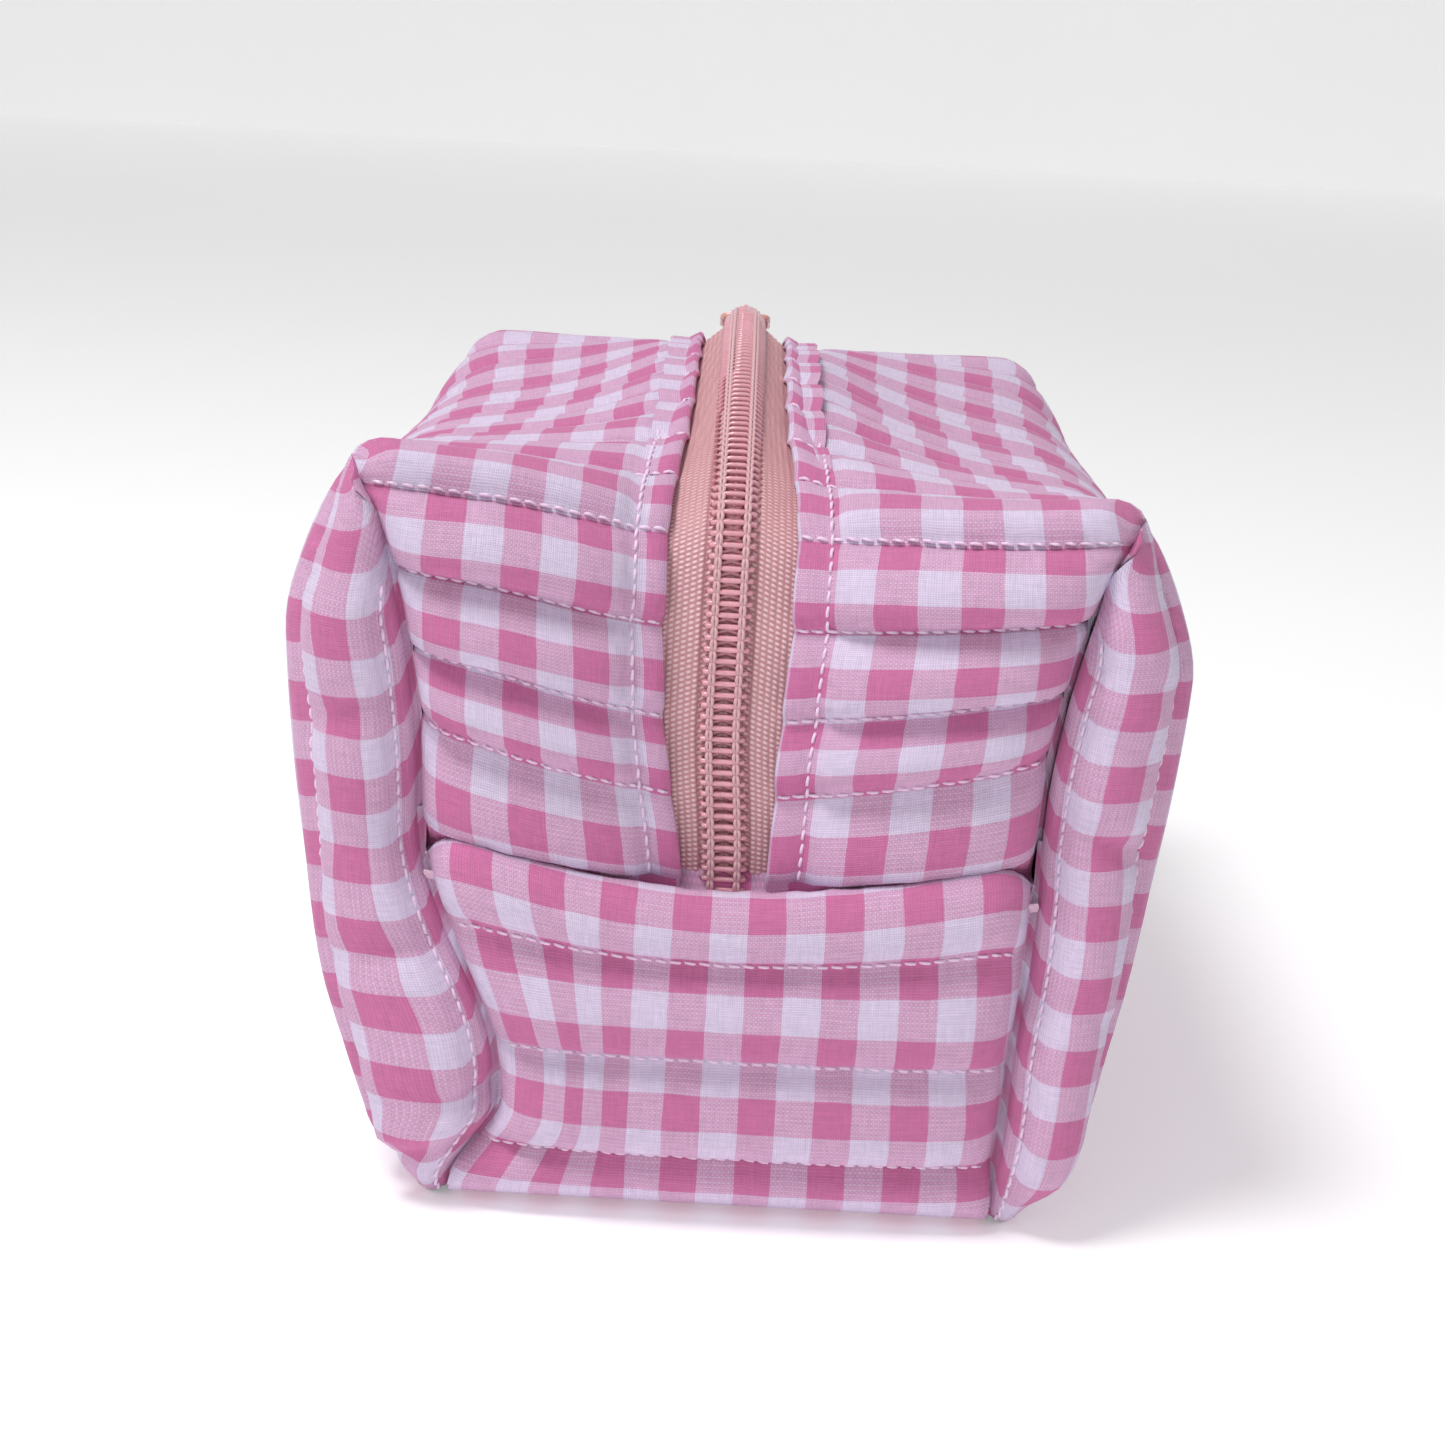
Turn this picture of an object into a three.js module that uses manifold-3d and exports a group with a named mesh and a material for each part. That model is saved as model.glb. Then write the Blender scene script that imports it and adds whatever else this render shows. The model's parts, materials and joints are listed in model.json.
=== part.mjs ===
// A quilted cotton makeup bag: a boxed pouch with a coil zipper that runs over the top and
// halfway down both ends. Millimetres, +Z up, origin at the centre of the base.
// The zipper runs along Y at x = 0.
import * as THREE from "three";
import { mergeVertices } from "three/addons/utils/BufferGeometryUtils.js";
import Module from "manifold-3d";

const wasm = await Module();
wasm.setup();

// ---- overall sizes ----
const HALF_LENGTH = 90; // to the end faces at the ears
const HALF_WIDTH = 70.5; // at the widest height of the side walls
const EAR_HEIGHT = 119; // the four top corners
const EAR_HALF_WIDTH = 61.5;
const SHOULDER_DROP = 4.5; // of the top edge halfway between two ears
const BASE_HALF_WIDTH = 54; // before the bottom edge is rounded
const END_PINCH = 2.5; // how far the end seam draws each end face in
const SEAM_HEIGHT = 55.5; // the end seam, where the upper shell and the tub part

// ---- zipper line over the top ----
const CREST_RADIUS = 182; // of the arc that the slider runs along
const CREST_RISE = 16; // the highest point of the zipper above the ears
const CREST_FLAT = 6.8; // half the width of the level strip that the slider rides on
const CREST_FALL = 14; // how quickly the cloth drops away on each side of that strip

// ---- rounding of the box edges ----
const BASE_ROUND = 10;
const WALL_ROUND = 20;
const EAR_ROUND = 5.5;
const SHOULDER_ROUND = 12;
const ZIP_END_ROUND = 20;

// ---- layers of the quilted sandwich, from the outside in ----
const GAP = 0.3; // between two pieces that touch
const COVER = 1.0;
const WADDING = 2.5;
const LINING = 0.8;

// ---- zipper, slider and pull tab ----
const TAPE_THICK = 0.8;
const TAPE_INNER = 1.2;
const TAPE_OUTER = 15.5;
const SLOT_HALF = 8.9; // half the width of tape that shows between the folded edges
const COIL_HALF = 3.4;
const COIL_PROUD = 1.2; // above the cover's outer face
const SLIDER_LENGTH = 11;
const SLIDER_WIDTH = 9.6;
const SLIDER_PLATE = 1.1;
const SLIDER_START = 60; // how far behind the middle the slider parks, along Y
const POST_WIDTH = 1.8;
const POST_LENGTH = 2.6;
const POST_FROM_NOSE = 2.2;
const FLANGE = 0.8;
const FLANGE_CLEAR = 0.55;
const BRIDGE_WIDTH = 1.8;
const BRIDGE_LENGTH = 8;
const BRIDGE_BAR = 0.8;
const BRIDGE_OPENING = 1.7;
const PULL_LENGTH = 24;
const PULL_WIDTH = 7;
const PULL_THICK = 1.0;
const PULL_EYE = 6.4; // from the pivot to the far edge of the eye
const PULL_SLOT = 4.4; // width of the finger slot
const PULL_SLOT_LENGTH = 8;

// ---- bias bindings over the seam allowances inside ----
const BINDING_DEPTH = 8;
const BINDING_THICK = 1.6;
const CORNER_SEAM_X = 45;
const CORNER_MARGIN = 9; // the corner bindings stop this far from the base and the seam

const SHOULDER_HEIGHT = EAR_HEIGHT - SHOULDER_DROP;
const CREST_CENTRE_Z = EAR_HEIGHT + CREST_RISE - CREST_RADIUS;

// Offsets of each layer's faces, measured inwards from the outer face of the cover.
const WADDING_OUT = COVER + GAP;
const WADDING_IN = WADDING_OUT + WADDING;
const LINING_OUT = WADDING_IN + GAP;
const LINING_IN = LINING_OUT + LINING;
const TAPE_OUT = COVER + GAP;
const TAPE_IN = TAPE_OUT + TAPE_THICK;
const COIL_IN = TAPE_OUT - GAP;
const WADDING_SLOT = TAPE_OUTER + 2 * GAP;
const LINING_SLOT = SLOT_HALF + 3;
const FAR = 400; // larger than the whole bag, for cutting boxes

// Grid lines of the box that is bent into the bag, as shares of each half side.
const ACROSS = mirrored([0.095, 0.19, 0.3, 0.52, 0.8, 0.94, 1]);
const ALONG = mirrored([0, 0.28, 0.555, 0.667, 0.8, 0.89, 0.955, 1]);
const UP = [0, 0.05, 0.14, 0.3, 0.466, 0.62, 0.8, 0.9, 0.96, 1];

function mirrored(shares) {
  const below = shares.filter((share) => share > 0).map((share) => -share).reverse();
  return [...below, ...shares];
}

function smooth(from, to, value) {
  return THREE.MathUtils.smoothstep(value, from, to);
}

// Half the width of the walls at a height, before the edges are rounded.
function wallHalfWidth(height, v) {
  const share = Math.min(height / (0.75 * EAR_HEIGHT), 1);
  const wall = BASE_HALF_WIDTH + (HALF_WIDTH - BASE_HALF_WIDTH) * Math.sin((share * Math.PI) / 2) ** 0.8;
  const toEar = smooth(0.78 * EAR_HEIGHT, EAR_HEIGHT, height) * v * v;
  return wall + (EAR_HALF_WIDTH - wall) * toEar;
}

// Half the length at a height: the end faces swell above and below the seam.
function endHalfLength(height, u) {
  const fromSeam = (height - SEAM_HEIGHT) / 14;
  const pinch = END_PINCH * Math.exp(-fromSeam * fromSeam);
  const swell = 2.5 * Math.sin(Math.PI * Math.min(height / EAR_HEIGHT, 1)) * (1 - u * u);
  return HALF_LENGTH + swell - pinch;
}

// Height of the zipper line, and of the whole top, for one layer offset.
function crestHeight(y, offset) {
  const radius = CREST_RADIUS - offset;
  return CREST_CENTRE_Z + Math.sqrt(radius * radius - y * y);
}

function topHeight(x, y, v, offset) {
  const shoulder = SHOULDER_HEIGHT + (EAR_HEIGHT - SHOULDER_HEIGHT) * v ** 4 - offset;
  const share = Math.exp(-Math.max(Math.abs(x) - CREST_FLAT, 0) / CREST_FALL);
  return shoulder + (crestHeight(y, offset) - shoulder) * share;
}

// The rounding radius at a place on the box.
function roundAt(u, v, w) {
  const a = Math.abs(u);
  const b = Math.abs(v);
  const top =
    EAR_ROUND + (ZIP_END_ROUND - EAR_ROUND) * (1 - a ** 1.5) + (SHOULDER_ROUND - EAR_ROUND) * (1 - b ** 3) * a ** 3;
  const low = BASE_ROUND + (WALL_ROUND - BASE_ROUND) * smooth(0, 0.2, w);
  return low + (top - low) * smooth(0.76, 1, w);
}

// The bent box: u across, v along, both -1 to 1, and w up, 0 to 1.
function bagPoint(u, v, w, offset) {
  const nominal = w * EAR_HEIGHT;
  const halfX = wallHalfWidth(nominal, v) - offset;
  const halfY = endHalfLength(nominal, u) - offset;
  const x = u * halfX;
  const y = v * halfY;
  const top = topHeight(x, y, v, offset);
  const z = offset + w * (top - offset);
  const radius = Math.max(roundAt(u, v, w) - offset, 0.8);
  const sharp = new THREE.Vector3(x, y, z);
  const core = new THREE.Vector3(
    THREE.MathUtils.clamp(x, radius - halfX, halfX - radius),
    THREE.MathUtils.clamp(y, radius - halfY, halfY - radius),
    THREE.MathUtils.clamp(z, offset + radius, top - radius),
  );
  const out = sharp.clone().sub(core);
  if (out.length() > radius) out.setLength(radius);
  return core.add(out);
}

// One face of the bent box, as quads split along their shorter diagonal.
function addFace(points, rows, columns, at, flip) {
  for (let i = 0; i + 1 < rows.length; i += 1) {
    for (let j = 0; j + 1 < columns.length; j += 1) {
      const a = at(rows[i], columns[j]);
      const b = at(rows[i + 1], columns[j]);
      const c = at(rows[i + 1], columns[j + 1]);
      const d = at(rows[i], columns[j + 1]);
      const order = a.distanceTo(c) < b.distanceTo(d) ? [a, b, c, a, c, d] : [a, b, d, b, c, d];
      const corners = flip ? order.reverse() : order;
      corners.forEach((p) => points.push(p.x, p.y, p.z));
    }
  }
}

function bagSolid(offset) {
  const points = [];
  const at = (u, v, w) => bagPoint(u, v, w, offset);
  addFace(points, ACROSS, ALONG, (u, v) => at(u, v, 1), false);
  addFace(points, ACROSS, ALONG, (u, v) => at(u, v, 0), true);
  addFace(points, ACROSS, UP, (u, w) => at(u, -1, w), false);
  addFace(points, ACROSS, UP, (u, w) => at(u, 1, w), true);
  addFace(points, ALONG, UP, (v, w) => at(1, v, w), false);
  addFace(points, ALONG, UP, (v, w) => at(-1, v, w), true);
  const geometry = new THREE.BufferGeometry();
  geometry.setAttribute("position", new THREE.Float32BufferAttribute(points, 3));
  return toSolid(geometry);
}

// ---- manifold helpers ----
function toSolid(geometry) {
  const plain = geometry.index ? geometry.toNonIndexed() : geometry.clone();
  plain.deleteAttribute("normal");
  plain.deleteAttribute("uv");
  const merged = mergeVertices(plain, 1e-4);
  return new wasm.Manifold(
    new wasm.Mesh({
      numProp: 3,
      vertProperties: new Float32Array(merged.attributes.position.array),
      triVerts: new Uint32Array(merged.index.array),
    }),
  );
}

function toGeometry(solid) {
  const mesh = solid.getMesh();
  const geometry = new THREE.BufferGeometry();
  const places = new Float32Array(mesh.numVert * 3);
  for (let i = 0; i < mesh.numVert; i += 1) {
    const first = i * mesh.numProp;
    places.set(mesh.vertProperties.subarray(first, first + 3), i * 3);
  }
  geometry.setAttribute("position", new THREE.BufferAttribute(places, 3));
  geometry.setIndex(new THREE.BufferAttribute(new Uint32Array(mesh.triVerts), 1));
  geometry.computeVertexNormals();
  return geometry;
}

function boxSolid(x0, x1, y0, y1, z0, z1) {
  const geometry = new THREE.BoxGeometry(x1 - x0, y1 - y0, z1 - z0);
  geometry.translate((x0 + x1) / 2, (y0 + y1) / 2, (z0 + z1) / 2);
  return toSolid(geometry);
}

function shell(outerOffset, innerOffset) {
  return bagSolid(outerOffset).subtract(bagSolid(innerOffset));
}

// A box on one side of the bag, above the seam: side is -1 for left, 1 for right.
function sideBox(side, inner, outer) {
  const low = SEAM_HEIGHT + GAP / 2;
  return side > 0 ? boxSolid(inner, outer, -FAR, FAR, low, FAR) : boxSolid(-outer, -inner, -FAR, FAR, low, FAR);
}

// ---- materials ----
function material(color, roughness, metalness = 0) {
  return new THREE.MeshStandardMaterial({ color, roughness, metalness });
}

const GINGHAM = material(0xd98fb4, 0.9);
const FLEECE = material(0xf3f0ea, 1);
const LINING_COTTON = material(0xf1e4ea, 0.9);
const ZIP_TAPE = material(0xd69a92, 0.75);
const ZIP_NYLON = material(0xcf8d84, 0.4);
const ENAMEL = material(0xd79c94, 0.35, 0.3);
const BIAS_TAPE = material(0xd98fb4, 0.9);

const bag = new THREE.Group();

function addMesh(name, solid, look) {
  const mesh = new THREE.Mesh(toGeometry(solid), look);
  mesh.name = name;
  bag.add(mesh);
  return mesh;
}

// ---- the quilted layers: one tub and two upper half shells ----
function addLayer(name, outerOffset, innerOffset, slot, look) {
  const whole = shell(outerOffset, innerOffset);
  const below = boxSolid(-FAR, FAR, -FAR, FAR, -FAR, SEAM_HEIGHT - GAP / 2);
  addMesh("base_" + name, whole.intersect(below), look);
  addMesh("left_side_" + name, whole.intersect(sideBox(-1, slot, FAR)), look);
  addMesh("right_side_" + name, whole.intersect(sideBox(1, slot, FAR)), look);
}

addLayer("cover", 0, COVER, SLOT_HALF, GINGHAM);
addLayer("wadding", WADDING_OUT, WADDING_IN, WADDING_SLOT, FLEECE);
addLayer("lining", LINING_OUT, LINING_IN, LINING_SLOT, LINING_COTTON);

// ---- zipper tapes and coils, with a pocket where they part round the slider's post ----
function sliderGroup() {
  const carried = new THREE.Group();
  carried.position.set(0, 0, CREST_CENTRE_Z);
  carried.rotation.x = -Math.asin(SLIDER_START / CREST_RADIUS);
  carried.updateMatrixWorld(true);
  return carried;
}

const SLIDER_PLACE = sliderGroup();
const POST_Y = SLIDER_LENGTH / 2 - POST_FROM_NOSE;

// A box in the slider's own frame: y along the zipper, z out from the crest, 0 on the cover's face.
function sliderBox(x0, x1, y0, y1, z0, z1) {
  return boxSolid(x0, x1, y0, y1, CREST_RADIUS + z0, CREST_RADIUS + z1);
}

function inSliderPlace(solid) {
  const geometry = toGeometry(solid);
  geometry.applyMatrix4(SLIDER_PLACE.matrixWorld);
  return toSolid(geometry);
}

function postPocket() {
  const half = POST_WIDTH / 2 + GAP;
  const reach = POST_LENGTH / 2 + GAP;
  return inSliderPlace(sliderBox(-half, half, POST_Y - reach, POST_Y + reach, -FAR / 8, FAR / 8));
}

const pocket = postPocket();
const tapeRing = shell(TAPE_OUT, TAPE_IN).subtract(pocket);
const coilRing = shell(-COIL_PROUD, COIL_IN).subtract(pocket);
[[-1, "left"], [1, "right"]].forEach(([side, name]) => {
  addMesh(name + "_zipper_tape", tapeRing.intersect(sideBox(side, TAPE_INNER, TAPE_OUTER)), ZIP_TAPE);
  addMesh(name + "_zipper_coil", coilRing.intersect(sideBox(side, GAP / 2, COIL_HALF)), ZIP_NYLON);
});

// ---- slider ----
function plateOutline(width, length) {
  const half = width / 2;
  const nose = 0.7 * half;
  const outline = new THREE.Shape();
  outline.moveTo(-nose, length / 2);
  outline.quadraticCurveTo(0, length / 2 + 0.8, nose, length / 2);
  outline.quadraticCurveTo(half, length / 2, half, length / 4);
  outline.lineTo(0.86 * half, -length / 2);
  outline.lineTo(-0.86 * half, -length / 2);
  outline.lineTo(-half, length / 4);
  outline.quadraticCurveTo(-half, length / 2, -nose, length / 2);
  return outline;
}

function plate(width, length, z0, z1) {
  const geometry = new THREE.ExtrudeGeometry(plateOutline(width, length), {
    depth: z1 - z0,
    bevelEnabled: false,
    curveSegments: 4,
  });
  geometry.translate(0, 0, CREST_RADIUS + z0);
  return toSolid(geometry);
}

const PLATE_LOW = COIL_PROUD + 0.45; // the chain is faceted, so the plate stands a little clear
const PLATE_TOP = PLATE_LOW + SLIDER_PLATE;
const UNDER_TOP = -(TAPE_IN + 0.5);
const UNDER_LOW = UNDER_TOP - SLIDER_PLATE;

function sliderBody() {
  const half = SLIDER_WIDTH / 2;
  const inner = COIL_HALF + FLANGE_CLEAR;
  const back = -SLIDER_LENGTH / 2;
  const flangeLow = -(TAPE_OUT - GAP) + 0.1;
  let body = plate(SLIDER_WIDTH, SLIDER_LENGTH, PLATE_LOW, PLATE_TOP);
  body = body.add(plate(SLIDER_WIDTH, SLIDER_LENGTH, UNDER_LOW, UNDER_TOP));
  body = body.add(
    sliderBox(-POST_WIDTH / 2, POST_WIDTH / 2, POST_Y - POST_LENGTH / 2, POST_Y + POST_LENGTH / 2, UNDER_LOW, PLATE_TOP),
  );
  [-1, 1].forEach((side) => {
    const x0 = side > 0 ? inner : -inner - FLANGE;
    body = body.add(sliderBox(x0, x0 + FLANGE, back + 0.5, SLIDER_LENGTH / 4, flangeLow, PLATE_TOP).intersect(
      sliderBox(-half, half, back, -back, flangeLow, PLATE_TOP),
    ));
  });
  const bridgeTop = PLATE_TOP + BRIDGE_OPENING + BRIDGE_BAR;
  const arch = sliderBox(
    -BRIDGE_WIDTH / 2, BRIDGE_WIDTH / 2, -BRIDGE_LENGTH / 2, BRIDGE_LENGTH / 2, PLATE_LOW, bridgeTop,
  );
  const gapLength = BRIDGE_LENGTH / 2 - BRIDGE_BAR;
  const eye = sliderBox(-half, half, -gapLength, gapLength, PLATE_TOP, bridgeTop - BRIDGE_BAR);
  return body.add(arch.subtract(eye));
}

// ---- pull tab: lies towards the rear end, its cross bar under the slider's bridge ----
const PIVOT_Z = PLATE_TOP + BRIDGE_OPENING / 2;
const BAR_HALF = PULL_THICK / 2;

function roundedPlan(length, width, y0, radius) {
  const outline = new THREE.Shape();
  const half = width / 2;
  outline.moveTo(-half, y0);
  outline.lineTo(half, y0);
  outline.lineTo(half, y0 + length - radius);
  outline.quadraticCurveTo(half, y0 + length, half - radius, y0 + length);
  outline.lineTo(radius - half, y0 + length);
  outline.quadraticCurveTo(-half, y0 + length, -half, y0 + length - radius);
  outline.closePath();
  return outline;
}

function pullTab() {
  const outline = roundedPlan(PULL_LENGTH + BAR_HALF, PULL_WIDTH, -BAR_HALF, 2.4);
  const geometry = new THREE.ExtrudeGeometry(outline, {
    depth: PULL_THICK,
    bevelEnabled: false,
    curveSegments: 4,
  });
  geometry.translate(0, 0, CREST_RADIUS + PIVOT_Z - BAR_HALF);
  const eyeHalf = BRIDGE_WIDTH / 2 + 2 * GAP;
  const low = PIVOT_Z - PULL_THICK;
  const high = PIVOT_Z + PULL_THICK;
  const eye = sliderBox(-eyeHalf, eyeHalf, BAR_HALF, PULL_EYE, low, high);
  const slotEnd = PULL_LENGTH - 3;
  const slot = sliderBox(-PULL_SLOT / 2, PULL_SLOT / 2, slotEnd - PULL_SLOT_LENGTH, slotEnd, low, high);
  return toSolid(geometry).subtract(eye).subtract(slot);
}

addMesh("slider_body", inSliderPlace(sliderBody()), ENAMEL);
addMesh("pull_tab", inSliderPlace(pullTab()), ENAMEL);

// ---- bindings over the seams, standing off the lining ----
const BINDING_OUT = LINING_IN + GAP;
const bindingRing = shell(BINDING_OUT, BINDING_OUT + BINDING_DEPTH);

function addBinding(name, x, halfX, end, z0, z1) {
  const inner = HALF_LENGTH - BINDING_OUT - 2 * BINDING_DEPTH;
  const y0 = end > 0 ? inner : -FAR;
  const y1 = end > 0 ? FAR : -inner;
  addMesh(name, bindingRing.intersect(boxSolid(x - halfX, x + halfX, y0, y1, z0, z1)), BIAS_TAPE);
}

[[-1, "front"], [1, "rear"]].forEach(([end, endName]) => {
  const seamLow = SEAM_HEIGHT - 3 - BINDING_THICK;
  addBinding(endName + "_seam_binding", 0, CORNER_SEAM_X - BINDING_THICK, end, seamLow, seamLow + BINDING_THICK);
  [[-1, "left"], [1, "right"]].forEach(([side, sideName]) => {
    const x = side * CORNER_SEAM_X;
    const lowEnd = SEAM_HEIGHT - CORNER_MARGIN;
    const highEnd = EAR_HEIGHT - 2.5 * CORNER_MARGIN;
    const corner = endName + "_" + sideName;
    addBinding(corner + "_lower_binding", x, BINDING_THICK / 2, end, LINING_IN + CORNER_MARGIN, lowEnd);
    addBinding(corner + "_upper_binding", x, BINDING_THICK / 2, end, SEAM_HEIGHT + GAP * 5, highEnd);
  });
});

export default bag;
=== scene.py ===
"""A quilted gingham makeup bag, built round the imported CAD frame. Lengths here are in millimetres
until mesh_object turns them into metres. The zipper runs along Y; the front end faces -Y."""

import json
import math

import bmesh
import bpy
import numpy as np
from mathutils import Matrix, Vector


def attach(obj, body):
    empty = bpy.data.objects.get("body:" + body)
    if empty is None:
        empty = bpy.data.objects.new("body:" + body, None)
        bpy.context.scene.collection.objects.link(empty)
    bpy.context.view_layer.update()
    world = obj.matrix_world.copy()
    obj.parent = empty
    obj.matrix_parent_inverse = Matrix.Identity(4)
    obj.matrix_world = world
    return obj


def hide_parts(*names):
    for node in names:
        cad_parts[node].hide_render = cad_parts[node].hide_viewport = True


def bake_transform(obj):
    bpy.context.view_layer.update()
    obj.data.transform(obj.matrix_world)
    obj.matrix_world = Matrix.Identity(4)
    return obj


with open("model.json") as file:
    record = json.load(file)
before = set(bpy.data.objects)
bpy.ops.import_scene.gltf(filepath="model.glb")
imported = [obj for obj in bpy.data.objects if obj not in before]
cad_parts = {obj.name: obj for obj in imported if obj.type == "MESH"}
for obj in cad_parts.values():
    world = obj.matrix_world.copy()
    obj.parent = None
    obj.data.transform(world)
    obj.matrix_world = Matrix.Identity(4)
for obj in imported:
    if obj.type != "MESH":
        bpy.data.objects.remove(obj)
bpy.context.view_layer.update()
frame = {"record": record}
MM = 1000.0
ENDS = ((-1, 0), (1, -1))  # front and rear: the way along Y, and the index of the outermost row
X_AXIS = np.array([1.0, 0, 0])

# ---- cloth and stitching ----
CHECK = 5.9  # one gingham stripe
THREAD_PITCH = 0.36
RIB_WIDTH = 1.05  # of the satin floats in the zipper tape, and their step along it
RIB_STEP = 0.87
QUILT_FIRST = 8.8
QUILT_PITCH = 17.6
TOPSTITCH = 4.9  # from the folded edge
STITCH_LENGTH = 2.3
PUFF = 3.3  # height of a quilted channel
LINING_DEPTH = 4.4
PUCKER_REACH = 3.4  # of the small puckers on both sides of a line of stitches
FURROW = 1.1  # half width of a stitched furrow
EAR_BLUNT = 3.4  # how far the stuffing fails to fill each top corner
SEAM_ROLL = (0.5, 1.4, 3.0, 5.5)  # how far a seamed edge turns in, step by step
STITCH_RADIUS = 0.29

# ---- how the bag stands: a little askew ----
LEFT_EAR_RISE = 3.2  # the left front ear stands higher
REAR_EAR_DROP = 2.8
BODY_SHIFT = 2.0  # the body sits to the right of the zipper
CORNER_TUCK = 11.5  # the lower front left corner goes in
ZIP_RUN_OFF = 1.5  # the zipper's ends run off to the right

# ---- how finely the cloth is meshed ----
TOP_COLUMNS = 30
FLAP_ROWS = 40
SPAN_ROWS = 121
WALL_ROWS = 60
STRIP_COLUMNS = 51

# ---- the lines that shape it ----
# Cloth lengths run from the middle of the top, past the ear, to the end seam.
EAR_S = 90
SEAM_S = 164.0
# Folded edge of the cloth beside the zipper: cloth length, x, y, z.
ZIP_EDGE = (
    (0, 8.0, 0, 129.6),
    (30, 8.0, 28, 127.6),
    (60, 8.5, 54.5, 122.6),
    (79.2, 9.5, 71.3, 118.4),
    (96.8, 10.4, 83.2, 111.6),
    (114.4, 10.4, 87.6, 97.8),
    (132, 9.7, 88.6, 83.2),
    (149.6, 8.5, 88.8, 71.8),
    (SEAM_S, 7.2, 87.6, 57),
)
# Shoulder from the middle to the ear, then the boxed seam from the ear down to the end seam.
SHOULDER = (
    (0, 61, 0, 110.5),
    (30, 61.4, 30, 111),
    (60, 62.2, 60, 114),
    (79.2, 62.6, 79, 117.6),
    (EAR_S, 62.3, 90, 120.4),
)
EAR_SEAM = (
    (EAR_S, 62.3, 90, 120.4),
    (96.8, 58.8, 91.4, 115.6),
    (114.4, 53.4, 91.2, 102),
    (132, 50.8, 90.6, 90.4),
    (149.6, 49.2, 90, 80.2),
    (SEAM_S, 48.6, 88.6, 64),
)
# Zipper chain: cloth length, y, z. Its top is the arc that the slider runs along.
CREST = (
    (0, 0, 135),
    (30, 28, 132.8),
    (60, 55, 126.5),
    (79.2, 71.5, 120.4),
    (96.8, 83.2, 112.5),
    (114.4, 86.9, 98),
    (132, 87.6, 83.2),
    (149.6, 87.6, 71),
    (SEAM_S, 86.8, 55),
)
# Side wall from the shoulder down and under: x, z.
WALL = (
    (61, 110.5), (65.6, 105.5), (68.2, 97), (69, 86), (68.6, 74), (67.2, 62), (65, 50),
    (62.4, 37), (59.2, 24), (56, 13), (52.6, 6), (48.2, 1.6), (43, 0.6),
)
# Boxed seam, by height: z, x, y.
BOX_SEAM = (
    (0, 45.2, 87), (2, 45.6, 90), (8, 46, 92.4), (20, 46.4, 92.8), (33, 47, 92), (47, 48.4, 90.6),
    (57, 48.8, 89), (64, 48.6, 88.6), (78.6, 49.2, 90), (90.4, 50.8, 90.6), (102, 53.4, 91.2),
    (115.6, 58.8, 91.4), (120.4, 62.3, 90),
)
# Lower end flap and base, from the end seam to the middle of the base: cloth length, y, z.
STRIP = (
    (0, 88.4, 52.5), (3, 91.2, 54.8), (7, 93.4, 54.4), (13, 95, 51), (20, 95.3, 45.6), (37.6, 95.2, 29),
    (50, 94.4, 17), (55.2, 93.8, 11.8), (61, 92.8, 6), (66, 89.6, 2), (71, 85, 0.7), (156, 0, 0.7),
)
BASE_T = 66  # the cloth length where the flap has become the base
STRIP_LINES = (2.5, 20, 37.6, 55.2, 72.8, 90.4, 108, 125.6, 143.2)


# ---- curves and grids ----
def path(keys, t):
    """A smooth curve through keys, (parameter, coordinates...), at the parameters t."""
    keys = np.array(keys, float)
    at, places = keys[:, 0], keys[:, 1:]
    slopes = np.gradient(places, at, axis=0)
    t = np.asarray(t, float)
    i = np.clip(np.searchsorted(at, t) - 1, 0, len(at) - 2)
    step = (at[i + 1] - at[i])[..., None]
    u = (t - at[i])[..., None] / step
    h00, h10 = 2 * u**3 - 3 * u**2 + 1, u**3 - 2 * u**2 + u
    h01, h11 = 3 * u**2 - 2 * u**3, u**3 - u**2
    return h00 * places[i] + h10 * step * slopes[i] + h01 * places[i + 1] + h11 * step * slopes[i + 1]


def smoothstep(a, b, x):
    t = np.clip((np.asarray(x, float) - a) / (b - a), 0, 1)
    return t * t * (3 - 2 * t)


def bell(x, width):
    """1 at 0, falling smoothly to nothing a few widths away."""
    return np.exp(-((x / width) ** 2))


def distances(points):
    """Distance along a polyline, at each of its points."""
    return np.concatenate([[0], np.cumsum(np.linalg.norm(np.diff(points, axis=0), axis=1))])


def run_length(grid, axis):
    """Distance along a grid's lines on one axis, at each of its points."""
    start = np.take(grid, [0], axis)
    return np.linalg.norm(np.diff(grid, axis=axis, prepend=start), axis=2).cumsum(axis)


def points_at(at, own, points):
    """The polyline's points at the parameters at, where own gives the parameter of each."""
    return np.stack([np.interp(at, own, points[:, k]) for k in range(3)], -1)


def both_ends(line, s):
    """A line drawn for the rear half, turned to the front wherever s is below 0."""
    line[:, 1] *= np.where(s < 0, -1, 1)
    return line


def zip_edge(s):
    """The folded edge beside the zipper, at signed cloth lengths."""
    return both_ends(path(ZIP_EDGE, np.abs(s)), s)


def draw_in(grid, depth, reach):
    """Draws cloth back towards the bag's middle near its four top corners."""
    ear = np.array(SHOULDER[-1][1:])
    away = np.linalg.norm(np.abs(grid) - ear, axis=-1, keepdims=True)
    return grid - np.sign(grid) * np.array([0.6, 0.5, 0.62]) * depth * bell(away, reach)


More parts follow.
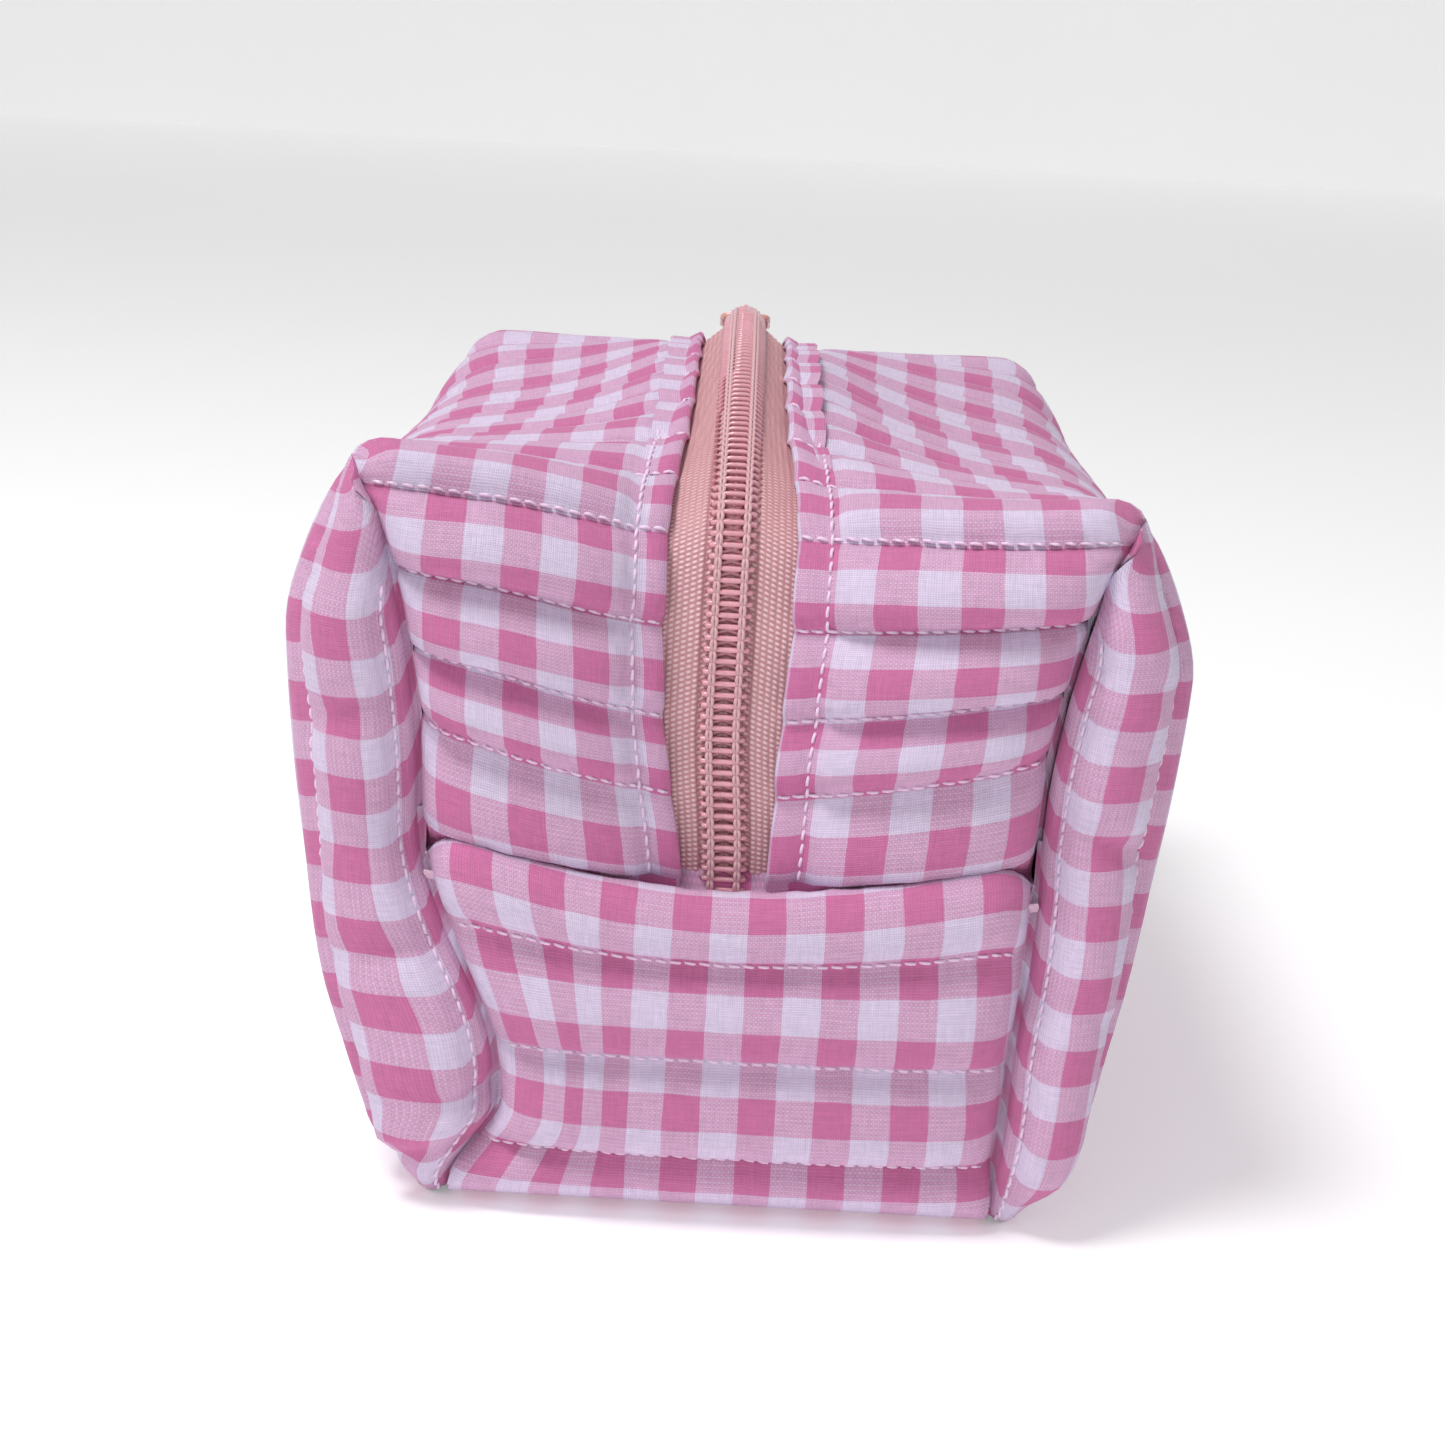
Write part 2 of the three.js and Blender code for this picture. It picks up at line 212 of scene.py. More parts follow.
def settle(grid):
    """Puts a piece made upright and even into the bag's own slightly uneven stance."""
    x, y, z = (grid[..., k].copy() for k in range(3))
    high = smoothstep(62, 118, z)
    off_zip = smoothstep(8, 42, np.abs(x))
    left_front = np.where(x < 0, LEFT_EAR_RISE * smoothstep(60, -88, y), 0)
    low_corner = smoothstep(66, 22, z) * smoothstep(-45, -86, y)
    low_corner = low_corner * smoothstep(10, 44, -x) * smoothstep(66, 50, -x)
    near_ends = smoothstep(84, 56, z) * smoothstep(40, 80, np.abs(y))
    out = draw_in(grid, EAR_BLUNT, 5.5)
    out[..., 2] += high * off_zip * (left_front - REAR_EAR_DROP * smoothstep(-10, 88, y))
    out[..., 0] += BODY_SHIFT * off_zip
    out[..., 0] += CORNER_TUCK * low_corner * (1 - 0.75 * smoothstep(19, 3, z))
    out[..., 0] += (1 - off_zip) * ZIP_RUN_OFF * near_ends
    return out


def normals_of(grid):
    """Unit normals of a grid of points, turned to face away from the bag's middle."""
    du = np.gradient(grid, axis=0)
    dv = np.gradient(grid, axis=1)
    n = np.cross(du, dv)
    n /= np.maximum(np.linalg.norm(n, axis=2, keepdims=True), 1e-9)
    middle = np.array([0, 0, 60.0])
    away = np.sign(((grid - middle) * n).sum(2, keepdims=True).mean() + 1e-9)
    return n * away


def relax(grid, axis, weight, rounds):
    """Smooths a grid along one axis; weight is 0 where points keep their place."""
    for _ in range(rounds):
        moved = (np.roll(grid, 1, axis) + np.roll(grid, -1, axis)) / 2 - grid
        ends = [slice(None)] * grid.ndim
        for end in (0, -1):
            ends[axis] = end
            moved[tuple(ends)] = 0
        grid = grid + moved * weight[..., None]
    return grid


def channels(s, lines, droop=0.0):
    """(roundness 0 to 1 across the channel that holds s, distance to the nearest line, its number)."""
    lines = np.asarray(lines, float)
    i = np.clip(np.searchsorted(lines, s), 1, len(lines) - 1)
    low, high = lines[i - 1], lines[i]
    t = np.clip((s - low) / (high - low), 0, 1)
    sunk = np.where(s < 0, 1 - (1 - t) ** (1 + droop), t ** (1 + droop))
    crown = np.maximum(1 - np.abs(2 * sunk - 1) ** 2.3, 0) ** 0.55
    crown = crown * np.clip((high - low) / QUILT_PITCH, 0.3, 1)
    near = np.minimum(s - low, high - s)
    return crown, near, np.where(t < 0.5, i - 1, i)


def ripples(along, number, seed):
    """Small puckers beside a line of stitches, different on each line."""
    rng = np.random.default_rng(seed)
    phase = rng.uniform(0, 2 * math.pi, (64, 3))
    pitch = rng.uniform(0.8, 1.25, (64, 3)) * np.array([5.2, 8.5, 14.0])
    n = np.mod(number, 64).astype(int)
    total = 0
    for k, size in enumerate((0.45, 0.35, 0.35)):
        total = total + size * np.sin(2 * math.pi * along / pitch[n, k] + phase[n, k])
    return total


QUILT = [QUILT_FIRST + QUILT_PITCH * k for k in range(-10, 10)]
TOP_LINES = [-SEAM_S - 2] + [s for s in QUILT if abs(s) < 150] + [SEAM_S + 2]
SEAM_ROW = 28  # the wall's row level with the end seam
WALL_LINES = [-106] + [s for s in QUILT if abs(s) < 100] + [106]


def top_grid():
    """The top and its two end flaps on the right-hand side: rows along the cloth, columns out from the
    zipper."""
    ends = np.linspace(SEAM_S, EAR_S, FLAP_ROWS)[:-1]
    s = np.concatenate([-ends, np.linspace(-EAR_S, EAR_S, SPAN_ROWS), ends[::-1]])
    a = np.linspace(0, 1, TOP_COLUMNS)
    size = np.abs(s)
    inner = zip_edge(s)
    ridge, seam = path(SHOULDER, np.minimum(size, EAR_S)), path(EAR_SEAM, np.maximum(size, EAR_S))
    outer = both_ends(np.where((size < EAR_S)[:, None], ridge, seam), s)
    grid = inner[:, None] + (outer - inner)[:, None] * a[None, :, None]
    bow = 4 * a * (1 - a)
    on_end = smoothstep(88, 108, size)[:, None]
    grid[:, :, 1] += np.sign(s)[:, None] * bow[None] * on_end * 2.6
    grid[:, :, 2] -= bow[None] * (1 - on_end) * (1.8 - 3.6 * smoothstep(-10, 70, s))[:, None]
    # The cloth drops quickly beside the raised zipper, then runs level.
    fall = np.exp(-a * 53 / 24.0) - (1 - a)
    grid[:, :, 2] += (1 - on_end) * np.clip(fall, -0.4, 0)[None] * (inner[:, 2] - outer[:, 2])[:, None] * 0.75
    soft = np.broadcast_to(0.5 * (1 - a[None] ** 6), grid.shape[:2])
    return s, relax(grid, 0, soft, 14)


WALL_TURN = 56.0  # where the wall starts to turn in towards the boxed seam
WALL_BOW = 1.2


def wall_corner(q, side, c):
    """The wall's rounded ends as curves from the flat, where c is 0, to the boxed seam, where it is 1."""
    top_z, foot_z = BOX_SEAM[-1][0], 0.8
    seam_z = top_z - (top_z - foot_z) * q
    seam = path(BOX_SEAM, seam_z)
    full = smoothstep(0, 0.2, q)[:, None]
    low = 1 - 0.55 * smoothstep(0.84, 1, q)[:, None]
    x0, z0 = side[:, :1] - WALL_BOW * (WALL_TURN / 60) ** 2, side[:, 1:]
    x3, y3, z3 = seam[:, :1], seam[:, 1:2], seam_z[:, None]
    p1 = (x0 + 1.2 + 3.0 * full * low, WALL_TURN + 14 + 15 * full * low, z0)
    p2 = (x3 + 2.5 + 12.5 * full * low, y3 - 8 + 14.0 * full * low, z0 + (z3 - z0) * 0.75)
    corner = np.zeros((*c.shape, 3))
    for k, (start, end) in enumerate(((x0, x3), (WALL_TURN, y3), (z0, z3))):
        corner[:, :, k] = (
            (1 - c) ** 3 * start + 3 * (1 - c) ** 2 * c * p1[k] + 3 * (1 - c) * c**2 * p2[k] + c**3 * end
        )
    return corner


def wall_grid(ridge):
    """The side wall on the right-hand side: rows down from the shoulder, columns along the cloth."""
    down = distances(np.array(WALL, float))
    q = np.linspace(0, 1, WALL_ROWS)
    side = path(np.column_stack([down, WALL]), q * down[-1])
    n = np.linspace(-1, 1, SPAN_ROWS)
    reach = EAR_S + 10 * smoothstep(0, 0.22, q)
    s = n[None] * reach[:, None]
    size = np.abs(s)
    flat = np.zeros((WALL_ROWS, SPAN_ROWS, 3))
    flat[:, :, 0] = side[:, :1] - WALL_BOW * (size / 60) ** 2
    flat[:, :, 1] = size
    flat[:, :, 2] = side[:, 1:]
    c = np.clip((size - WALL_TURN) / (reach[:, None] - WALL_TURN), 0, 1)
    grid = np.where((size < WALL_TURN)[:, :, None], flat, wall_corner(q, side, c))
    grid[:, :, 1] *= np.where(n < 0, -1, 1)[None]
    # The first rows ease from the shoulder line that the top shares.
    ease = (1 - smoothstep(0, 0.1, q))[:, None, None]
    return q, s, grid + (ridge - grid[0])[None] * ease


def join_shoulder(top, wall):
    """Rounds the shoulder between the ears, where the top and the wall are one cloth."""
    rows = slice(FLAP_ROWS - 1, FLAP_ROWS - 1 + SPAN_ROWS)
    both = np.concatenate([top[rows], wall[1:].transpose(1, 0, 2)], axis=1)
    column = np.arange(both.shape[1]) - (TOP_COLUMNS - 1)
    near = bell(column, 5.0)[None]
    n = np.linspace(-1, 1, SPAN_ROWS)[:, None]
    both = relax(both, 1, 0.5 * near * (1 - np.abs(n) ** 5), 40)
    top[rows] = both[:, :TOP_COLUMNS]
    wall[:] = both[:, TOP_COLUMNS - 1 :].transpose(1, 0, 2)


def strip_grid():
    """The lower end flaps and the base, as one cloth: rows from the front seam to the rear seam."""
    half = STRIP[-1][0]
    t = np.concatenate([np.arange(0, half, 1.5), [half]])
    line = path(STRIP, t)
    front = np.column_stack([t, -line[:, 0], line[:, 1]])
    back = np.column_stack([2 * half - t, line[:, 0], line[:, 1]])[::-1][1:]
    line = np.vstack([front, back])
    width = np.interp(line[:, 2], [z for z, _, _ in BOX_SEAM], [x for _, x, _ in BOX_SEAM]) - 0.4
    c = np.linspace(-1, 1, STRIP_COLUMNS)
    grid = np.zeros((len(line), STRIP_COLUMNS, 3))
    grid[:, :, 0] = width[:, None] * c[None]
    grid[:, :, 1] = line[:, 1:2]
    grid[:, :, 2] = line[:, 2:3]
    top_edge = smoothstep(36, 54, line[:, 2])[:, None]
    tucked = smoothstep(0.86, 1.0, np.abs(c[None])) * top_edge
    grid[:, :, 2] += top_edge * 8.0 * np.abs(c[None]) ** 1.8 - 2.4 * tucked
    grid[:, :, 1] -= np.sign(line[:, 1:2]) * 1.4 * tucked
    # The flap's sides lie back a little towards the boxed seams.
    up = smoothstep(3, 14, line[:, 2])[:, None]
    grid[:, :, 1] -= np.sign(line[:, 1:2]) * up * 2.6 * np.abs(c[None]) ** 3
    return line[:, 0], c, grid, 2 * half


# ---- puffing the cloth ----
def calm_at_ears(grid):
    """0 at the four top corners, where every seam meets, to 1 away from them."""
    x, y, z = SHOULDER[-1][1:]
    away = np.sqrt((grid[..., 0] - x) ** 2 + (np.abs(grid[..., 1]) - y) ** 2 + (grid[..., 2] - z) ** 2)
    return smoothstep(0, 9, away)


def puff_top(s, grid, normal, side, inward=False):
    """The top's quilted channels, with their puckers and furrows; inward, the lining behind them."""
    across = np.linalg.norm(np.gradient(grid, axis=1), axis=2).cumsum(1)
    across -= across[:, :1]
    total = across[:, -1:]
    size = np.abs(s)[:, None]
    droop = 0.75 * smoothstep(92, 104, size)
    crown, near, number = channels(np.broadcast_to(s[:, None], grid.shape[:2]), TOP_LINES, droop)
    on_flap = smoothstep(88, 94, size)
    height = PUFF - 0.7 + 1.9 * on_flap
    seam_fade = 1 - on_flap * np.exp(-((total - across) / 3.6))
    stitch = 1 - 0.62 * bell(across - TOPSTITCH, 1.3)
    margin = np.where(across < TOPSTITCH, 0.42, 1 - 0.58 * np.exp(-(across - TOPSTITCH) / 4.0))
    puff = height * crown * seam_fade * stitch * margin
    pucker = ripples(across, number + 40 * (side > 0), 11) * bell(near, PUCKER_REACH) * 0.32
    deep = 0.7 + 1.3 * on_flap * smoothstep(6, 34, across)
    sink = -deep * bell(near, FURROW) * (0.25 + 0.75 * smoothstep(1.5, 7, across))
    sink = sink - 1.6 * on_flap * np.exp(-(total - across) / 1.5)
    if inward:
        return grid - normal * (puff * 0.5 + sink * 0.4 + LINING_DEPTH)[..., None]
    return grid + normal * ((puff + pucker * seam_fade + sink) * calm_at_ears(grid))[..., None]


def creases(s, z, side):
    """Soft dents across the corner channels: (side, end, height, cloth length, depth)."""
    total = np.zeros_like(z)
    marks = (
        (1, -1, 94, 90, 1.2), (1, -1, 67, 88, 2.0), (1, -1, 40, 92, 1.0), (1, -1, 84, 93, 0.8),
        (-1, -1, 101, 90, 1.0), (-1, -1, 82, 90, 1.8), (-1, -1, 62, 92, 0.9), (-1, -1, 44, 92, 2.0),
        (-1, -1, 20, 96, 2.6), (-1, -1, 10, 90, 2.2),
        (1, 1, 80, 88, 1.2), (-1, 1, 60, 90, 1.3), (-1, 1, 88, 86, 0.9), (1, 1, 34, 90, 1.1),
    )
    for which, end, height, length, depth in marks:
        if which == side:
            beyond = s * end - length
            total -= depth * bell(beyond, 8) * bell(z - height - beyond * 0.22, 2.6)
    return total


def puff_wall(q, s, grid, normal, side, inward=False):
    """The side wall's channels and creases; inward, the lining behind them."""
    down = np.linalg.norm(np.gradient(grid, axis=0), axis=2).cumsum(0)
    reach = np.abs(s[:, -1:])
    crown, near, number = channels(s, WALL_LINES)
    seam = smoothstep(0.02, 0.12, q)[:, None] * np.exp(-(reach - np.abs(s)) / 2.2)
    height = (PUFF - 0.8) * (1 - 0.85 * smoothstep(0.88, 0.97, q))[:, None]
    height = height + 0.9 * smoothstep(70, 85, np.abs(s)) * smoothstep(0.03, 0.2, q)[:, None]
    pucker = ripples(down, number + 20 * (side > 0), 23) * bell(near, PUCKER_REACH) * 0.3
    flat = 1 - smoothstep(0.9, 0.97, q)[:, None]
    sink = -0.7 * bell(near, FURROW) * flat
    if inward:
        return grid - normal * (height * crown * 0.5 + sink * 0.4 + LINING_DEPTH)[..., None]
    dents = creases(s, grid[:, :, 2], side) * flat
    total = height * crown * (1 - seam) - 1.8 * seam + (pucker + sink) * flat + dents
    return grid + normal * (total * calm_at_ears(grid))[..., None]


def puff_strip(t, c, grid, normal, total, inward=False):
    """The lower flaps' channels, calmer on the base; inward, the lining behind them."""
    mirrored = np.minimum(t, total - t)
    lines = [-4, *STRIP_LINES, total / 2 + 5]
    crown, near, number = channels(np.broadcast_to(mirrored[:, None], grid.shape[:2]), lines, 0.5)
    on_flap = 1 - smoothstep(57, 66, mirrored)[:, None]
    from_seam = (1 - np.abs(c))[None] * np.abs(grid[:, -1:, 0])
    seam_fade = 1 - np.exp(-from_seam / 3.4) * on_flap
    height = 0.5 + (PUFF + 0.3) * on_flap
    first = np.where(mirrored[:, None] < 2.5, 0.25, 1)
    pucker = ripples(grid[:, :, 0], number + 7 * (grid[:, :, 1] > 0), 31) * bell(near, PUCKER_REACH) * 0.32
    sink = -0.7 * bell(near, FURROW) * on_flap - 1.6 * on_flap * np.exp(-from_seam / 1.5)
    if inward:
        return grid - normal * (height * crown * 0.5 + LINING_DEPTH)[..., None]
    puff = (height * crown * first + pucker * on_flap) * seam_fade
    return grid + normal * (puff + sink)[..., None]


# ---- meshes ----
def below_ears(points):
    """0 at the ears' height and above, to 1 some way below them."""
    return smoothstep(0, 14, 119.0 - points[:, 2:])


class Cloth:
    """Collects quads and their cloth coordinates for one mesh."""

    def __init__(self):
        self.points, self.faces, self.coords, self.count = [], [], [], 0

    def add(self, grid, u, v, flip=False):
        rows, columns = grid.shape[:2]
        index = np.arange(rows * columns).reshape(rows, columns) + self.count
        quads = np.stack([index[:-1, :-1], index[1:, :-1], index[1:, 1:], index[:-1, 1:]], -1).reshape(-1, 4)
        self.faces.append(quads[:, ::-1] if flip else quads)
        self.points.append(grid.reshape(-1, 3))
        uv = np.stack([np.broadcast_to(u, (rows, columns)), np.broadcast_to(v, (rows, columns))], -1)
        self.coords.append(uv.reshape(-1, 2))
        self.count += rows * columns

    def add_roll(self, edge, inward, u, v):
        """A seamed edge turning in, less and less towards the ears."""
        share = below_ears(edge)
        steps = [edge] + [edge + inward * depth * share for depth in SEAM_ROLL]
        self.add(np.stack(steps, 1), u[:, None], v[:, None])

    def add_bridge(self, first, second, inward, u, v):
        """A narrow strip between two sewn edges, so that their furrow has a floor."""
        matched = points_at(np.linspace(0, 1, len(second)), np.linspace(0, 1, len(first)), first)
        middle = (matched + second) / 2 + inward * 1.5 * below_ears(second)
        self.add(np.stack([matched, middle, second], 1), u[:, None], v[:, None] + np.array([0, 1.0, 2.0]))

    def make(self, name, material, inside=False):
        points, faces, coords = (np.vstack(rows) for rows in (self.points, self.faces, self.coords))
        return mesh_object(name, points, faces, material, coords, weld=0.02, inside=inside)


def weld_mesh(mesh, distance, inside=False):
    """Joins points that meet, and turns all faces out, or in for cloth seen from inside the bag."""
    bm = bmesh.new()
    bm.from_mesh(mesh)
    bmesh.ops.remove_doubles(bm, verts=bm.verts, dist=distance)
    bmesh.ops.recalc_face_normals(bm, faces=bm.faces)
    if inside:
        bmesh.ops.reverse_faces(bm, faces=bm.faces)
    bm.to_mesh(mesh)
    bm.free()


def mesh_object(name, points, faces, material, coords=None, weld=None, inside=False):
    mesh = bpy.data.meshes.new(name)
    mesh.from_pydata((np.asarray(points) / MM).tolist(), [], np.asarray(faces).tolist())
    if coords is not None:
        layer = mesh.uv_layers.new(name="cloth")
        corner = np.zeros(len(mesh.loops), np.int32)
        mesh.loops.foreach_get("vertex_index", corner)
        layer.data.foreach_set("uv", (np.asarray(coords)[corner] / 100).ravel().astype(np.float32))
    mesh.polygons.foreach_set("use_smooth", np.ones(len(mesh.polygons), bool))
    mesh.materials.append(material)
    piece = bpy.data.objects.new(name, mesh)
    bpy.context.collection.objects.link(piece)
    if weld:
        weld_mesh(mesh, weld / MM, inside)
    return piece


def tubes(paths, radii, sides=6):
    """Points and quads of round threads: paths is (count, rings, 3), radii one value per ring."""
    paths = np.asarray(paths, float)
    count, rings = paths.shape[:2]
    along = np.gradient(paths, axis=1)
    along /= np.maximum(np.linalg.norm(along, axis=2, keepdims=True), 1e-9)
    hint = np.where(np.abs(along[..., :1]) < 0.8, [1.0, 0, 0], [0, 0, 1.0])
    first = np.cross(along, hint)
    first /= np.linalg.norm(first, axis=2, keepdims=True)
    second = np.cross(along, first)
    angle = np.arange(sides) * 2 * math.pi / sides
    turn_x, turn_y = np.cos(angle)[None, None, :, None], np.sin(angle)[None, None, :, None]
    ring = first[:, :, None] * turn_x + second[:, :, None] * turn_y
    points = paths[:, :, None] + ring * np.asarray(radii)[None, :, None, None]
    index = np.arange(count * rings * sides).reshape(count, rings, sides)
    turned = np.roll(index, -1, 2)
    quads = np.stack([index[:, :-1], index[:, 1:], turned[:, 1:], turned[:, :-1]], -1).reshape(-1, 4)
    return points.reshape(-1, 3), quads


class Threads:
    """Collects stitches for one mesh."""

    def __init__(self):
        self.points, self.faces, self.count = [], [], 0

    def add(self, points, faces):
        self.points.append(points)
        self.faces.append(faces + self.count)
        self.count += len(points)

    def run(self, line, normal, lift=0.26, gap=0.3, tilt=0.12):
        """Stitches end to end along a line on the cloth."""
        along = distances(line)
        number = max(int(along[-1] / STITCH_LENGTH), 1)
        u = np.array([0.0, 0.16, 0.5, 0.84, 1.0])
        start = np.arange(number)[:, None] * along[-1] / number
        at = start + gap / 2 + u[None] * (along[-1] / number - gap)
        place, up = points_at(at, along, line), points_at(at, along, normal)
        forward = place[:, -1:] - place[:, :1]
        aside = np.cross(forward, up)
        aside /= np.maximum(np.linalg.norm(aside, axis=2, keepdims=True), 1e-9)
        rise = np.array([-0.28, 0.05, lift, 0.05, -0.28])
        slant = np.array([-1, -0.7, 0, 0.7, 1]) * tilt
        place = place + up * rise[None, :, None] + aside * slant[None, :, None]
        self.add(*tubes(place, np.array([0.35, 0.95, 1, 0.95, 0.35]) * STITCH_RADIUS))

    def make(self, name, material):
        return mesh_object(name, np.vstack(self.points), np.vstack(self.faces), material)


# ---- materials ----
class Nodes:
    """Short calls for building a node material."""

    def __init__(self, name):
        self.material = bpy.data.materials.new(name)
        self.material.use_nodes = True
        self.tree = self.material.node_tree
        self.shader = self.tree.nodes["Principled BSDF"]

    def new(self, kind, **values):
        node = self.tree.nodes.new(kind)
        for key, value in values.items():
            setattr(node, key, value)
        return node

    def put(self, socket, value):
        if isinstance(value, bpy.types.NodeSocket):
            self.tree.links.new(value, socket)
        else:
            socket.default_value = value

    def math(self, operation, *values):
        node = self.new("ShaderNodeMath", operation=operation)
        for socket, value in zip(node.inputs, values):
            self.put(socket, value)
        return node.outputs[0]

    def times(self, a, b):
        return self.math("MULTIPLY", a, b)

    def mix(self, share, a, b, blend="MIX"):
        node = self.new("ShaderNodeMix", data_type="RGBA", blend_type=blend)
        for socket, value in ((node.inputs[0], share), (node.inputs[6], a), (node.inputs[7], b)):
            self.put(socket, value)
        return node.outputs[2]

    def cloth(self):
        """Cloth coordinates in millimetres."""
        split = self.new("ShaderNodeSeparateXYZ")
        uv = self.new("ShaderNodeUVMap", uv_map="cloth")
        self.put(split.inputs[0], uv.outputs[0])
        return tuple(self.times(split.outputs[k], 100.0) for k in (0, 1))

    def place(self):
        """Places on the object, for pieces with no cloth coordinates."""
        return self.new("ShaderNodeTexCoord").outputs["Object"]

    def pair(self, x, y, z=0.0):
        joined = self.new("ShaderNodeCombineXYZ")
        for socket, value in zip(joined.inputs, (x, y, z)):
            self.put(socket, value)
        return joined.outputs[0]

    def noise(self, vector, scale, detail=2.0):
        node = self.new("ShaderNodeTexNoise")
        self.put(node.inputs["Vector"], vector)
        self.put(node.inputs["Scale"], scale)
        self.put(node.inputs["Detail"], detail)
        return node.outputs[0]

    def slub(self, u, v, along_u, along_v, z=0.0, detail=2.0):
        """Noise stretched differently along the cloth's two directions."""
        place = self.pair(self.times(u, along_u), self.times(v, along_v), z)
        return self.noise(place, 1.0, detail)

    def spread(self, value, low, high):
        """A 0 to 1 value as low to high."""
        return self.math("MULTIPLY_ADD", value, high - low, low)

    def wave(self, value, period, sharp=None):
        """sin over a period; with sharp, a stripe from 0 to 1 with edges that steep."""
        turned = self.math("SINE", self.times(value, 2 * math.pi / period))
        if sharp is None:
            return turned
        return self.clamped(turned, sharp, 0.5)

    def clamped(self, value, factor, offset):
        """value * factor + offset, held between 0 and 1."""
        node = self.new("ShaderNodeMath", operation="MULTIPLY_ADD", use_clamp=True)
        for socket, given in zip(node.inputs, (value, factor, offset)):
            self.put(socket, given)
        return node.outputs[0]

    def gaps(self, across, along):
        """1 on the threads and less in the gaps between them."""
        return self.math("MAXIMUM", self.math("ABSOLUTE", across), self.math("ABSOLUTE", along))

    def shaded(self, color, shade):
        """The colour made darker or lighter by a factor."""
        return self.mix(1.0, color, self.pair(shade, shade, shade), "MULTIPLY")

    def bump(self, height, distance, strength):
        node = self.new("ShaderNodeBump")
        self.put(node.inputs["Height"], height)
        node.inputs["Distance"].default_value = distance
        node.inputs["Strength"].default_value = strength
        self.put(self.shader.inputs["Normal"], node.outputs[0])

    def set(self, **values):
        """Constants on the shader's own sockets."""
        for name, value in values.items():
            self.shader.inputs[name.replace("_", " ").title()].default_value = value

    def done(self, color, roughness, sheen=0.0, sheen_tint=(1, 1, 1, 1), metallic=0.0, coat=0.0):
        self.put(self.shader.inputs["Base Color"], color)
        self.put(self.shader.inputs["Roughness"], roughness)
        self.set(sheen_weight=sheen, sheen_tint=sheen_tint, sheen_roughness=0.5)
        self.set(metallic=metallic, coat_weight=coat, coat_roughness=0.15)
        return self.material


WHITE = (0.68, 0.58, 0.76, 1)
PINK = (0.575, 0.16, 0.345, 1)


def gingham():
    """Yarn-dyed check in plain weave: each thread is white or pink, and shows where it crosses on top."""
    n = Nodes("gingham_poplin")
    u, v = n.cloth()
    wander = n.slub(u, v, 0.12, 0.12, detail=3.0)
    u = n.math("ADD", u, n.spread(wander, -0.35, 0.35))
    v = n.math("ADD", v, n.spread(wander, 0.3, -0.3))
    warp = n.mix(n.wave(u, 2 * CHECK, 14.0), WHITE, PINK)
    weft = n.mix(n.wave(v, 2 * CHECK, 14.0), WHITE, PINK)
    across = n.wave(u, 2 * THREAD_PITCH)
    along = n.wave(v, 2 * THREAD_PITCH)
    weft_up = n.math("MULTIPLY_ADD", along, 0.45, n.times(across, along))
    woven = n.mix(n.clamped(weft_up, 0.15, 0.5), warp, weft)
    # Uneven threads, a faint bloom over the whole cloth, and painted shade in the gaps between the threads.
    slub = n.slub(u, v, 2.4, 0.25)
    slub_weft = n.slub(u, v, 0.25, 2.4, 7.0)
    uneven = n.times(n.spread(slub, 0.84, 1.16), n.spread(slub_weft, 0.84, 1.16))
    gaps = n.gaps(across, along)
    # The gaps factor is painted shade between the threads; uneven is the threads' own tone.
    shade = n.times(uneven, n.spread(gaps, 0.72, 1.03))
    tone = n.shaded(woven, shade)
    n.bump(n.math("ADD", gaps, n.times(slub, 0.6)), 0.00012, 0.7)
    return n.done(tone, n.spread(slub, 0.78, 0.95), sheen=0.12, sheen_tint=(1, 0.85, 1, 1))


def plain_cotton(name, color, pitch=0.4):
    n = Nodes(name)
    u, v = n.cloth()
    across, along = n.wave(u, 2 * pitch), n.wave(v, 2 * pitch)
    gaps = n.gaps(across, along)
    slub = n.slub(u, v, 1.6, 0.3)
    # The gaps between the threads carry painted shade; the slub gives the threads' uneven tone.
    shade = n.times(n.spread(slub, 0.88, 1.1), n.spread(gaps, 0.8, 1.02))
    n.bump(gaps, 0.0001, 0.6)
    tone = n.shaded(color, shade)
    return n.done(tone, n.spread(slub, 0.8, 0.95), sheen=0.15)


def thread_material(name, color, rough=0.55):
    """Twisted sewing thread, by place: it has no cloth coordinates."""
    n = Nodes(name)
    place = n.place()
    twist = n.noise(place, 2600.0, 1.0)
    drift = n.noise(place, 60.0)
    shade = n.times(n.spread(twist, 0.82, 1.12), n.spread(drift, 0.92, 1.06))
    n.bump(twist, 0.00008, 0.5)
    tone = n.shaded(color, shade)
    return n.done(tone, n.spread(twist, rough - 0.1, rough + 0.15), sheen=0.1)


def tape_material():
    """Woven zipper tape: satin ribs, with fine threads along them. The ribs' colour runs from painted shade
    in their hollows to a painted highlight on their crowns.
    """
    n = Nodes("zipper_tape_weave")
    u, v = n.cloth()
    column = n.math("DIVIDE", n.math("SUBTRACT", u, 4.1), RIB_WIDTH)
    part = n.math("FRACT", column)
    step = n.math("MULTIPLY_ADD", n.math("FLOOR", column), 0.5, n.math("DIVIDE", v, RIB_STEP))
    crown = n.math("SINE", n.times(part, math.pi))
    floats = n.wave(n.math("MULTIPLY_ADD", part, 0.35, step), 1.0)
    satin = n.times(crown, n.spread(floats, 0.45, 1.0))
    fine = n.slub(u, v, 3.0, 3.0)
    height = n.math("MULTIPLY_ADD", fine, 0.3, satin)
    # Painted shade in the hollows between the satin floats, and a painted highlight on their crowns.
    woven = n.mix(n.times(satin, 1.1), (0.55, 0.25, 0.28, 1), (0.92, 0.66, 0.68, 1))
    shade = n.spread(fine, 0.88, 1.1)
    tone = n.shaded(woven, shade)
    n.bump(height, 0.0002, 0.7)
    material = n.done(tone, n.spread(fine, 0.38, 0.6), sheen=0.2, sheen_tint=(1, 0.85, 0.8, 1))
    n.set(anisotropic=0.4)
    return material


